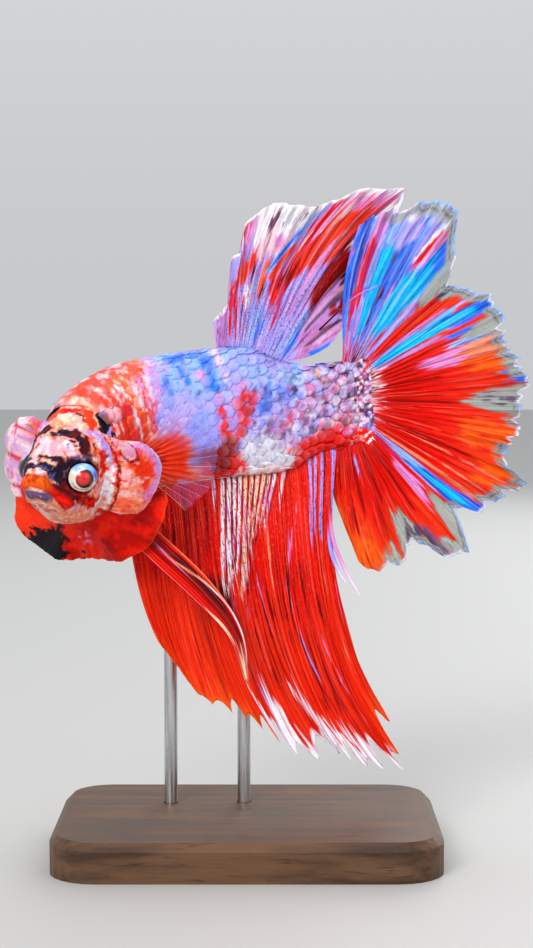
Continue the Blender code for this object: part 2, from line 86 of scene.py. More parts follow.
def flow(rows, at):
    """Smooth curves without overshoot through rows of (place, value, ...), read at many places."""
    rows = np.array(rows, float)
    x, y = rows[:, 0], rows[:, 1:]
    step = np.diff(x)
    slope = np.diff(y, axis=0) / step[:, None]
    tangent = np.vstack([slope[:1], (slope[1:] + slope[:-1]) / 2, slope[-1:]])
    limit = 3 * np.minimum(abs(slope[1:]), abs(slope[:-1]))
    same_way = slope[1:] * slope[:-1] > 0
    tangent[1:-1] = np.where(same_way, np.clip(tangent[1:-1], -limit, limit), 0)
    at = np.atleast_1d(np.asarray(at, float))
    i = np.clip(np.searchsorted(x, at) - 1, 0, len(step) - 1)
    u = ((at - x[i]) / step[i])[:, None]
    lean = tangent[i] * u * (1 - u) ** 2 - tangent[i + 1] * u * u * (1 - u)
    return y[i] * (1 + 2 * u) * (1 - u) ** 2 + y[i + 1] * u * u * (3 - 2 * u) + step[i][:, None] * lean


def directions(s):
    """The tailward, right and up directions of the body at spine lengths s."""
    turn = ease(np.atleast_1d(s), BEND_START, BEND_END)
    yaw = np.radians(HEAD_YAW + (TAIL_YAW - HEAD_YAW) * turn)
    rise = np.radians(HEAD_RISE + (TAIL_RISE - HEAD_RISE) * turn)
    roll = np.radians(HEAD_ROLL * (1 - turn))[:, None]
    back = np.stack([np.cos(rise) * np.cos(yaw), np.cos(rise) * np.sin(yaw), np.sin(rise)], -1)
    level_right = np.stack([-np.sin(yaw), np.cos(yaw), 0 * yaw], -1)
    level_up = np.cross(back, level_right)
    right = level_right * np.cos(roll) + level_up * np.sin(roll)
    up = level_up * np.cos(roll) - level_right * np.sin(roll)
    return back, right, up


SPINE_STATIONS = np.arange(0, BODY_LENGTH + SPINE_STEP / 2, SPINE_STEP)
steps_back = directions(SPINE_STATIONS[:0:-1] - SPINE_STEP / 2)[0] * SPINE_STEP
SPINE = np.vstack([np.zeros(3), -np.cumsum(steps_back, axis=0)])[::-1]


def spine_at(s):
    inside = np.clip(s, 0, BODY_LENGTH)
    middle = np.stack([np.interp(inside, SPINE_STATIONS, SPINE[:, axis]) for axis in range(3)], -1)
    back, right, up = directions(inside)
    return middle + (s - inside)[:, None] * back, back, right, up


def on_body(s, right, up):
    """Points beside the spine."""
    s, right, up = np.broadcast_arrays(*(np.asarray(part, float) for part in (s, right, up)))
    middle, _, rightward, upward = spine_at(s.ravel())
    points = middle + right.ravel()[:, None] * rightward + up.ravel()[:, None] * upward
    return points.reshape(*s.shape, 3)


def body_place(points):
    """The spine length, rightward and upward distance of points, the reverse of on_body."""
    gaps = points[:, None, :] - SPINE[None, ::4, :]
    s = SPINE_STATIONS[::4][np.argmin((gaps**2).sum(2), axis=1)]
    for _ in range(4):
        middle, back, right, up = spine_at(s)
        s = np.clip(s + ((points - middle) * back).sum(1), -3, BODY_LENGTH + 3)
    middle, back, right, up = spine_at(s)
    away = points - middle
    return s, (away * right).sum(1), (away * up).sum(1)


def body_outline(s, angle):
    """(right, up) of the body's surface; angle 0 is the right side, pi / 2 the back."""
    s, angle = np.broadcast_arrays(np.asarray(s, float), np.asarray(angle, float))
    height, depth, half = (part.reshape(s.shape) for part in flow(BODY_SECTIONS, s.ravel()).T)
    right = np.sign(np.cos(angle)) * abs(np.cos(angle)) ** SECTION_POWER * half
    up = np.sign(np.sin(angle)) * abs(np.sin(angle)) ** SECTION_POWER
    return right, up * np.where(up > 0, height, depth)


def unit(vectors):
    return vectors / np.linalg.norm(vectors, axis=-1, keepdims=True)


def ring_faces(rings, count):
    """Quads between rings of count points each."""
    a = np.arange(rings - 1)[:, None] * count + np.arange(count)[None, :]
    b = np.arange(rings - 1)[:, None] * count + (np.arange(count)[None, :] + 1) % count
    return np.stack([a, b, b + count, a + count], -1).reshape(-1, 4).tolist()


def sheet_solid(grid, thickness):
    """A closed sheet over a grid of points, with its thickness at each: (points, faces)."""
    along, across = np.gradient(grid, axis=0), np.gradient(grid, axis=1)
    normal = np.cross(along, across)
    normal /= np.linalg.norm(normal, axis=2, keepdims=True) + 1e-12
    rows, cols = grid.shape[:2]
    offset = normal * np.broadcast_to(thickness, (rows, cols))[:, :, None] / 2
    points = np.vstack([(grid + offset).reshape(-1, 3), (grid - offset).reshape(-1, 3)])
    half = rows * cols
    a = (np.arange(rows - 1)[:, None] * cols + np.arange(cols - 1)[None, :]).reshape(-1)
    front = np.stack([a, a + cols, a + cols + 1, a + 1], -1)
    behind = half + front[:, ::-1]
    rim = [i * cols for i in range(rows)] + [(rows - 1) * cols + j for j in range(1, cols)]
    rim += [i * cols + cols - 1 for i in range(rows - 2, -1, -1)] + list(range(cols - 2, 0, -1))
    rim = np.array(rim)
    following = np.roll(rim, -1)
    edge = np.stack([following, rim, half + rim, half + following], -1)
    return points, np.vstack([front, behind, edge]).tolist()


def tube(line, radius, sides=12):
    """A closed bar along a line, with its radius at each point: (points, faces)."""
    line = np.asarray(line, float)
    heading = unit(np.gradient(line, axis=0))
    first = unit(np.cross(heading, (0.31, 0.2, 1.0)))  # no lip runs along this way
    second = np.cross(heading, first)
    turn = np.linspace(0, 2 * math.pi, sides, endpoint=False)
    spread = first[:, None] * np.cos(turn)[None, :, None] + second[:, None] * np.sin(turn)[None, :, None]
    points = (line[:, None] + spread * np.asarray(radius)[:, None, None]).reshape(-1, 3)
    last = (len(line) - 1) * sides
    caps = [list(range(sides - 1, -1, -1)), list(range(last, last + sides))]
    return points, ring_faces(len(line), sides) + caps


def new_object(name, data):
    piece = bpy.data.objects.new(name, data)
    bpy.context.scene.collection.objects.link(piece)
    return piece


def mesh_object(name, points, faces, scale=MM, edges=()):
    """An object with its place in its mesh; points are millimetres in the fish's frame."""
    mesh = bpy.data.meshes.new(name)
    mesh.from_pydata(((np.asarray(points) + TAIL_ROOT) * scale).tolist(), list(edges), faces)
    return new_object(name, mesh)


def points_of(piece):
    co = np.empty(len(piece.data.vertices) * 3, np.float32)
    piece.data.vertices.foreach_get("co", co)
    return co.reshape(-1, 3).astype(float)


def apply_modifiers(piece):
    """Replaces the piece's mesh with what its modifiers make of it."""
    graph = bpy.context.evaluated_depsgraph_get()
    made = bpy.data.meshes.new_from_object(piece.evaluated_get(graph), depsgraph=graph)
    piece.modifiers.clear()
    piece.data = made


# The body itself, with a domed snout.
BODY_RINGS, BODY_SIDES = 158, 96
SNOUT_DOME = ((-0.22, 0.35), (-0.13, 0.72), (-0.04, 0.93))  # ahead of the first section, and its share
around = np.linspace(0, 2 * math.pi, BODY_SIDES, endpoint=False)
rings = []
for ahead, share in SNOUT_DOME:
    right, up = body_outline(0.0, around)
    rings.append(on_body(ahead, right * share, up * share))
for s in np.linspace(0, FLESH_END, BODY_RINGS):
    right, up = body_outline(s, around)
    shrink = 1 - SCALE_DEPTH * ease(s, NAPE - 2, NAPE) / np.hypot(right, up)
    rings.append(on_body(s, right * shrink, up * shrink))
body_points = np.vstack(rings)
last = len(body_points) - BODY_SIDES
body_faces = ring_faces(len(rings), BODY_SIDES)
body_faces += [list(range(BODY_SIDES - 1, -1, -1)), list(range(last, last + BODY_SIDES))]
flesh = [(body_points, body_faces)]

# Lips: back from the snout, right and up along each lip's middle line on the left side.
UPPER_LIP = ((0.0, 0.05, 0.0, 0.92, 0.44), (0.15, 0.15, -0.75, 0.84, 0.44),
             (0.31, 0.45, -1.4, 0.42, 0.42), (0.51, 0.95, -1.85, -0.32, 0.4),
             (0.78, 1.65, -2.25, -1.45, 0.38), (1.0, 2.3, -2.45, -2.4, 0.26))
LOWER_LIP = ((0.0, 0.12, 0.0, -0.46, 0.42), (0.22, 0.25, -0.65, -0.62, 0.4), (0.5, 0.65, -1.2, -1.2, 0.3),
             (0.76, 1.15, -1.62, -1.9, 0.18), (1.0, 1.8, -1.95, -2.5, 0.1))
LIP_FAIRING = 14  # passes of smoothing along each lip
lip_lines = []
for lip in (UPPER_LIP, LOWER_LIP):
    left = flow(lip, np.linspace(0, 1, 24))
    right_half = left[:0:-1] * (1, -1, 1, 1)
    whole = np.vstack([right_half, left])
    for _ in range(LIP_FAIRING):
        whole[1:-1] = (whole[:-2] + 2 * whole[1:-1] + whole[2:]) / 4
    lip_lines.append(whole[:, :3])
    flesh.append(tube(on_body(whole[:, 0], whole[:, 1], whole[:, 2]), whole[:, 3]))

# Gill covers, flared away from the head: the free edge from its top to its bottom.
COVER_EDGE = {
    "left": ((8.6, 4.6, 2.4), (10.0, 6.9, 2.1), (11.1, 8.3, -0.6), (10.4, 7.7, -3.6), (9.2, 6.4, -5.4)),
    "right": ((8.8, 4.8, 3.6), (10.6, 8.0, 2.0), (11.2, 9.7, -1.2), (10.6, 9.4, -4.2), (9.4, 7.8, -6.0)),
}
COVER_ROOT = (7.7, 48.0, -44.0)  # back from the snout, and its top and bottom angles
COVER_BULGE, COVER_THICKNESS = 0.8, 0.42
# The free edge's scallops: depth, count and start.
COVER_LOBES = {"left": (0.03, 2.0, 0.5), "right": (0.13, 3.4, 0.15)}


def head_skin_point(back, angle, side, lift):
    right, up = body_outline(back, angle)
    grow = 1 + lift / np.hypot(right, up)
    return np.stack([back + 0 * right, side * right * grow, up * grow], -1)


def cover_grid(side, hand, rows=64, cols=28):
    edge = COVER_EDGE[hand]
    v, u = np.linspace(0, 1, rows), np.linspace(0, 1, cols)[None, :, None]
    back, top, bottom = COVER_ROOT
    root = head_skin_point(back, np.radians(top + (bottom - top) * v), side, 0.1)
    knots = [(i / (len(edge) - 1), *point) for i, point in enumerate(edge)]
    tip = flow(knots, v) * (1, side, 1)
    depth, count, start = COVER_LOBES[hand]
    lobes = 1 - depth * (1 - abs(np.sin(math.pi * (count * v + start)))) ** 1.5
    tip = root + (tip - root) * lobes[:, None]
    bulge = COVER_BULGE * np.sin(math.pi * u[..., 0]) * (0.4 + 0.6 * np.sin(math.pi * v[:, None]))
    grid = root[:, None] + (tip - root)[:, None] * u
    return grid - np.stack([bulge, -side * bulge * 0.4, 0 * bulge], -1)


# The throat's membranes, a red beard that stands out below the gill covers.
BEARD_ROOT, BEARD_EDGE, BEARD_BACK = 8.6, 10.4, 1.3
BEARD_ANGLES, BEARD_LAG = {"left": (-22.0, -91.0), "right": (-34.0, -91.0)}, 26.0
BEARD_RADII = {"left": (9.2, 10.8, 11.9, 12.3, 12.2), "right": (11.3, 13.2, 13.7, 13.2, 12.2)}
BEARD_RUFFLE, BEARD_WAVES, BEARD_THICKNESS = 0.35, 2.5, 0.36
BEARD_PLEAT, BEARD_PLEATS = 0.03, 17


def beard_grid(side, hand, rows=90, cols=26):
    top, bottom = BEARD_ANGLES[hand]
    v, u = np.linspace(0, 1, rows), np.linspace(0, 1, cols)[None, :]
    back = BEARD_BACK * (1 - v) ** 2
    root_angle = np.radians(top - BEARD_LAG + (bottom - top + BEARD_LAG) * v)
    root = head_skin_point(BEARD_ROOT + back, root_angle, side, 0.1)
    knots = [(i / 4, radius) for i, radius in enumerate(BEARD_RADII[hand])]
    turn = np.radians(top + (bottom - top) * v)
    radius = flow(knots, v)[:, 0] * (1 - 0.012 * np.sin(2 * math.pi * (3.2 * v + 0.3 * np.sin(7 * v))) ** 2)
    tip = np.stack([BEARD_EDGE + back, side * radius * np.cos(turn), radius * np.sin(turn)], -1)
    wave = BEARD_RUFFLE * np.sin(2 * math.pi * BEARD_WAVES * v)
    pleat = BEARD_PLEAT * np.sin(2 * math.pi * BEARD_PLEATS * v)
    grid = root[:, None] + (tip - root)[:, None] * u[..., None]
    grid[..., 0] += (wave + pleat)[:, None] * u
    return grid


throat_sheets = {}
for side, hand in SIDES:
    throat_sheets["cover", hand] = cover_grid(side, hand)
    throat_sheets["beard", hand] = beard_grid(side, hand)
for (kind, hand), grid in throat_sheets.items():
    thickness = COVER_THICKNESS if kind == "cover" else BEARD_THICKNESS
    flesh.append(sheet_solid(on_body(grid[..., 0], grid[..., 1], grid[..., 2]), thickness))

# All of it is fused into one closed surface and smoothed.
FUSE_STEP = 0.15
all_points, all_faces, start = [], [], 0
for points, faces in flesh:
    all_points.append(points)
    all_faces += [[start + corner for corner in face] for face in faces]
    start += len(points)
skin = mesh_object("betta_skin", np.vstack(all_points), all_faces, scale=1.0)
fuse = skin.modifiers.new("fuse", "REMESH")
fuse.mode = "VOXEL"
fuse.voxel_size = FUSE_STEP
soften = skin.modifiers.new("soften", "SMOOTH")
soften.factor, soften.iterations = 0.5, 3
apply_modifiers(skin)
skin_points = points_of(skin) - TAIL_ROOT
skin_s, skin_right, skin_up = body_place(skin_points)


# Noise that gives the same answer each run.
LATTICE = np.random.default_rng(7).random(4096)


def noise(points, size, seed=0):
    """Smooth noise from 0 to 1 at points, with lumps about size apart."""
    scaled = np.asarray(points, float) / size
    cell = np.floor(scaled).astype(np.int64)
    part = scaled - cell
    part = part * part * (3 - 2 * part)
    total = 0
    for corner in range(2 ** scaled.shape[1]):
        pick = [(corner >> axis) & 1 for axis in range(scaled.shape[1])]
        share, key = 1.0, seed * 1013
        for axis, high in enumerate(pick):
            share = share * (part[:, axis] if high else 1 - part[:, axis])
            key = key + (cell[:, axis] + high) * (73856093, 19349663, 83492791)[axis]
        total = total + share * LATTICE[(key ^ (key >> 7)) % 4096]
    return total


def rough_noise(points, size, seed=0):
    """Noise with two finer layers, spread over most of 0 to 1."""
    points = np.asarray(points, float)
    mixed = noise(points, size, seed) * 0.55 + noise(points, size / 2.1, seed + 1) * 0.28
    mixed += noise(points, size / 4.3, seed + 2) * 0.17
    return np.clip((mixed - 0.5) * 1.9 + 0.5, 0, 1)


# Eye sockets: the skin that lies inside each eyeball is turned in behind it.
EYE_RADIUS, SOCKET_GAP = 1.6, 0.06
EYE_PLACE = (4.6, 2.65, -0.05)  # back from the snout, out to the side, up
# The way each pupil looks: forward, out and up. The right eye is turned out to its own side.
EYE_HEADINGS = {"left": (-0.78, 0.56, 0.28), "right": (0.12, 0.97, 0.14)}
ORBIT_RIM = 0.12
SILL_HEIGHT, SILL_SLOPE = 0.62, 0.75  # where the ball leaves its socket, and the skin's rise from there
LOWERED_OUT, LOWERED_ACROSS, LOWERED_SOFT = 4.5, 4.0, 0.12  # the skin round a ball that the sill holds down
head_shape = np.stack([skin_s, skin_right, skin_up], -1)
for side, hand in SIDES:
    middle = np.array(EYE_PLACE) * (1, side, 1)
    axis = unit(np.array(EYE_HEADINGS[hand]) * (1, side, 1))
    socket = EYE_RADIUS + SOCKET_GAP
    away = head_shape - middle
    out = away @ axis
    across = np.linalg.norm(away - out[:, None] * axis, axis=1)
    near_eye = (out > 0) & (out < LOWERED_OUT) & (across < LOWERED_ACROSS) & (side * head_shape[:, 1] > 0)
    ceiling = SILL_HEIGHT + SILL_SLOPE * np.maximum(across - socket * 0.9, 0)
    ceiling += ORBIT_RIM * line_at(across, socket, 0.3)
    lowered = -LOWERED_SOFT * np.logaddexp(-out / LOWERED_SOFT, -ceiling / LOWERED_SOFT)
    head_shape += (np.where(near_eye, lowered - out, 0))[:, None] * axis
    away = head_shape - middle
    reach = np.linalg.norm(away, axis=1)
    out = away @ axis
    flat = away - out[:, None] * axis
    across = np.linalg.norm(flat, axis=1)
    inside = (reach < socket) & (out > -0.9)
    sill = math.acos(SILL_HEIGHT / socket)
    start = np.arccos(np.clip(out / (reach + 1e-9), -1, 1))
    share = np.clip(across / (socket * math.sin(sill)), 0, 1)
    tilt = np.maximum(start, sill + (math.pi - sill) * (1 - share))
    behind = np.cos(tilt)[:, None] * axis + np.sin(tilt)[:, None] * flat / (across[:, None] + 1e-9)
    head_shape = np.where(inside[:, None], middle + socket * behind, head_shape)

# Nostrils: a short raised tube with a pit in it on each side of the snout.
NOSTRIL, NOSTRIL_RADIUS = (4.05, 1.75, 3.05), 0.34
NOSTRIL_HEADING = (-0.3, 0.5, 0.8)
NOSTRIL_RIM, NOSTRIL_PIT = (0.16, 0.14), (0.22, 0.2)  # height and width, depth and width
for side, _ in SIDES:
    ring = np.linalg.norm(head_shape - np.array(NOSTRIL) * (1, side, 1), axis=1)
    lift = NOSTRIL_RIM[0] * line_at(ring, NOSTRIL_RADIUS, NOSTRIL_RIM[1])
    lift -= NOSTRIL_PIT[0] * line_at(ring, 0, NOSTRIL_PIT[1])
    head_shape += lift[:, None] * unit(np.array(NOSTRIL_HEADING) * (1, side, 1))

# The plates of the cheek and crown, and the creases between them.
PLATE_SIZE, PLATE_RISE, CREASE_DEPTH = 1.5, 0.26, 0.1
bare = fade(skin_s, NAPE, NAPE + 2)
outward = unit(np.stack([-0.3 + 0 * skin_s, skin_right, skin_up], -1))
lip_gaps = [np.linalg.norm(head_shape[:, None] - line[None, ::3], axis=2).min(1) for line in lip_lines]
plates = rough_noise(head_shape, PLATE_SIZE, 3)
lift = (plates - 0.5) * PLATE_RISE - line_at(plates, 0.52, 0.045) * CREASE_DEPTH
head_shape += (bare * ease(np.min(lip_gaps, axis=0), 0.5, 1.0) * lift)[:, None] * outward
skin_points = on_body(head_shape[:, 0], head_shape[:, 1], head_shape[:, 2])
skin.data.vertices.foreach_set("co", ((skin_points + TAIL_ROOT) * MM).ravel().astype(np.float32))
skin.data.shade_smooth()
skin.data.update()

# ---- Markings of the flesh and fins: paints and strokes ----
# Every colour patch is a stroke of a named paint along a line, wider or narrower towards its end,
# and broken up by specks. Skin and scales are painted by the same strokes.
PAINTS = {  # red, green and blue as seen, 0 to 255, and how solid the paint is, where it isn't quite
    "lavender": (172, 168, 250), "sky": (150, 190, 250), "azure": (30, 120, 250), "cyan": (14, 196, 255),
    "cobalt": (40, 66, 170), "periwinkle": (86, 134, 246), "pink": (228, 150, 214), "rose": (226, 50, 96),
    "white": (248, 246, 252), "silver": (216, 216, 232), "red": (236, 24, 4), "deep": (150, 8, 5),
    "orange": (252, 104, 20), "coral": (244, 84, 48), "salmon": (246, 150, 116), "maroon": (88, 14, 22),
    "black": (24, 13, 22), "dusk": (112, 86, 122), "cream": (248, 220, 192), "peach": (246, 186, 150),
    "blush": (248, 206, 216), "mauve": (196, 140, 206), "slate": (84, 92, 150), "flame": (242, 62, 22),
    "ink": (44, 22, 50), "glass": (150, 164, 150, 0.34), "veil": (220, 224, 232, 0.55),
}


def paint(name):
    """A paint as linear colour and solidity."""
    red, green, blue, *solidity = PAINTS[name]
    seen = np.array([red, green, blue]) / 255
    linear = np.where(seen > 0.04045, ((seen + 0.055) / 1.055) ** 2.4, seen / 12.92)
    return np.array([*linear, *(solidity or [1.0])])


def coated(name, count):
    """Tints for that many points, all in one paint."""
    return np.tile(paint(name), (count, 1))


def along_line(points, line):
    """Each point's distance from a line of several points, and how far along it, 0 to 1."""
    line = np.array(line, float)
    lengths = np.linalg.norm(np.diff(line, axis=0), axis=1)
    best, place, covered = np.full(len(points), 1e9), np.zeros(len(points)), 0.0
    for start, end, length in zip(line, line[1:], lengths):
        run = (end - start) / length
        t = np.clip((points - start) @ run, 0, length)
        distance = np.linalg.norm(points - start - t[:, None] * run, axis=1)
        nearer = distance < best
        best = np.where(nearer, distance, best)
        place = np.where(nearer, (covered + t) / lengths.sum(), place)
        covered += length
    return best, place


def stroke_mask(points, row, line, specks, wobble):
    """How much of a stroke (half width at start and end, brokenness) along a line is at each point."""
    start, end, broken = np.array(row) / 100
    distance, place = along_line(points, line)
    edge = distance / (start + (end - start) * place) + wobble
    mask = fade(edge, 0.72, 1.12)
    if broken:
        mask = mask * ease(specks, broken - 0.07, broken + 0.07)
    return mask


def ragged(points, amount, seed):
    """Points shifted about unevenly, so that what is painted at them gets a blotchy outline."""
    shifted = np.array(points, float)
    for axis in range(shifted.shape[1]):
        coarse, fine = rough_noise(points, 0.9, seed + axis), noise(points, 0.3, seed + 7 + axis)
        shifted[:, axis] += amount * ((coarse - 0.5) + 0.6 * (fine - 0.5))
    return shifted


def lay(tints, *coats):
    """Lays paints over the tints one after another, each with how much of it goes on each point."""
    for name, mask in coats:
        tints += (paint(name) - tints) * np.asarray(mask)[:, None]


def store_tints(mesh, tints):
    layer = mesh.color_attributes.new("Tint", "FLOAT_COLOR", "POINT")
    layer.data.foreach_set("color", np.clip(tints, 0, 1).ravel().astype(np.float32))


# Flank strokes: paint, half width at the start and end in hundredths of a millimetre, how broken up
# in percent, then places: spine length, and degrees round the body above the flank's middle.
ROUND_MM = 0.0925  # millimetres of skin to a degree
FLANK_MARKS = (
    ("red", 50, 35, 0, (12.6, 60), (13, 22), (13.2, -8)),
    ("white", 35, 30, 30, (14.4, 62), (14.8, 20), (15.2, -12)),
    ("orange", 50, 40, 0, (15.6, 72), (16.2, 35), (16.6, 0)),
    ("blush", 45, 30, 35, (16.4, 66), (17.2, 30), (17.4, -10)),
    ("orange", 35, 30, 20, (17.6, 75), (18, 48)), ("pink", 45, 30, 30, (18, 50), (18.4, 18), (18.6, -10)),
    ("red", 32, 22, 0, (18.7, 38), (19.2, 14), (19.6, -4)), ("white", 40, 30, 40, (17, 30), (17.4, 12)),
    ("salmon", 70, 55, 35, (19.4, 84), (20.4, 62)), ("pink", 80, 60, 45, (20.8, 60), (20.6, 20)),
    ("azure", 95, 85, 10, (23.2, 66), (25.6, 70)), ("cobalt", 50, 35, 42, (23.6, 70), (25.2, 70)),
    ("azure", 46, 38, 0, (22.3, 40), (22.5, 24)), ("cobalt", 16, 12, 0, (22.35, 36), (22.5, 28)),
    ("azure", 42, 34, 0, (24.3, 44), (24.7, 32)), ("azure", 70, 58, 0, (26.9, 60), (27.3, 40)),
    ("cobalt", 25, 20, 30, (26.9, 50), (27.2, 40)), ("azure", 62, 50, 0, (27.5, 38), (27.7, 24)),
    ("pink", 30, 30, 30, (26.4, 40), (26.6, 28)), ("blush", 40, 30, 35, (28, 78), (28.4, 50), (28.9, 30)),
    ("sky", 130, 100, 30, (30, 70), (31.5, 40)), ("lavender", 80, 70, 40, (31, 56), (33.4, 50)),
    ("azure", 80, 60, 20, (33, 22), (32.8, 2), (32.6, -14)), ("cobalt", 25, 20, 50, (33, 10), (32.8, -6)),
    ("azure", 95, 80, 38, (34.6, 20), (37.4, 12)), ("azure", 70, 50, 30, (36.4, 60), (38.6, 56)),
    ("azure", 40, 30, 30, (36.2, 16), (37, 6)), ("deep", 110, 120, 5, (21, -34), (26.6, -36)),
    ("red", 90, 80, 10, (20.4, -58), (27, -66)), ("pink", 100, 70, 45, (28.6, 12), (31.8, 16)),
    ("red", 50, 45, 5, (28.2, 2), (28.3, -12), (28.9, -22)),
    ("red", 55, 50, 5, (30.3, 10), (30.5, -4), (29.9, -16), (29.2, -24)),
    ("red", 45, 35, 10, (31.6, 12), (31.2, 0), (30.4, -10)),
    ("deep", 80, 90, 5, (28.6, -24), (28, -40), (27.6, -56)), ("mauve", 35, 30, 0, (29.2, -4), (29.1, -10)),
    ("silver", 130, 130, 12, (31, -28), (31.2, -54)), ("silver", 140, 120, 12, (32.8, -28), (33.4, -56)),
    ("silver", 100, 80, 15, (34.2, -38), (35, -56)), ("white", 55, 45, 15, (29.6, -64), (35, -68)),
    ("white", 60, 50, 20, (29.2, -78), (34.8, -80)), ("dusk", 80, 50, 45, (31.6, -14), (33, -18)),
    ("mauve", 110, 90, 35, (33.6, -12), (34.6, -28)), ("red", 30, 30, 0, (35.4, -3), (35.2, -14)),
    ("dusk", 45, 35, 30, (36, -20), (36.6, -14)), ("mauve", 110, 80, 35, (36.2, -4), (38.4, 8)),
    ("lavender", 90, 70, 30, (35.6, -32), (36.8, -24)), ("mauve", 130, 100, 40, (38, 22), (41.4, 14)),
    ("dusk", 28, 22, 30, (38.3, 62), (38.7, 30)), ("peach", 30, 25, 30, (39, 58), (39.2, 24)),
    ("slate", 28, 25, 30, (40.2, 66), (40.4, 30)), ("azure", 40, 30, 30, (39.4, 78), (40.8, 66)),
    ("maroon", 25, 20, 10, (41.4, 60), (41.5, 40)),
    ("red", 120, 130, 5, (36.2, -64), (38.4, -44), (40.6, -26)),
    ("red", 140, 140, 0, (37.6, -80), (41.4, -60)), ("coral", 60, 50, 20, (40.6, 0), (41.2, -14)),
    ("coral", 28, 20, 30, (38, -30), (38.6, -12)), ("coral", 25, 20, 20, (39.4, -26), (39.8, -6)),
)
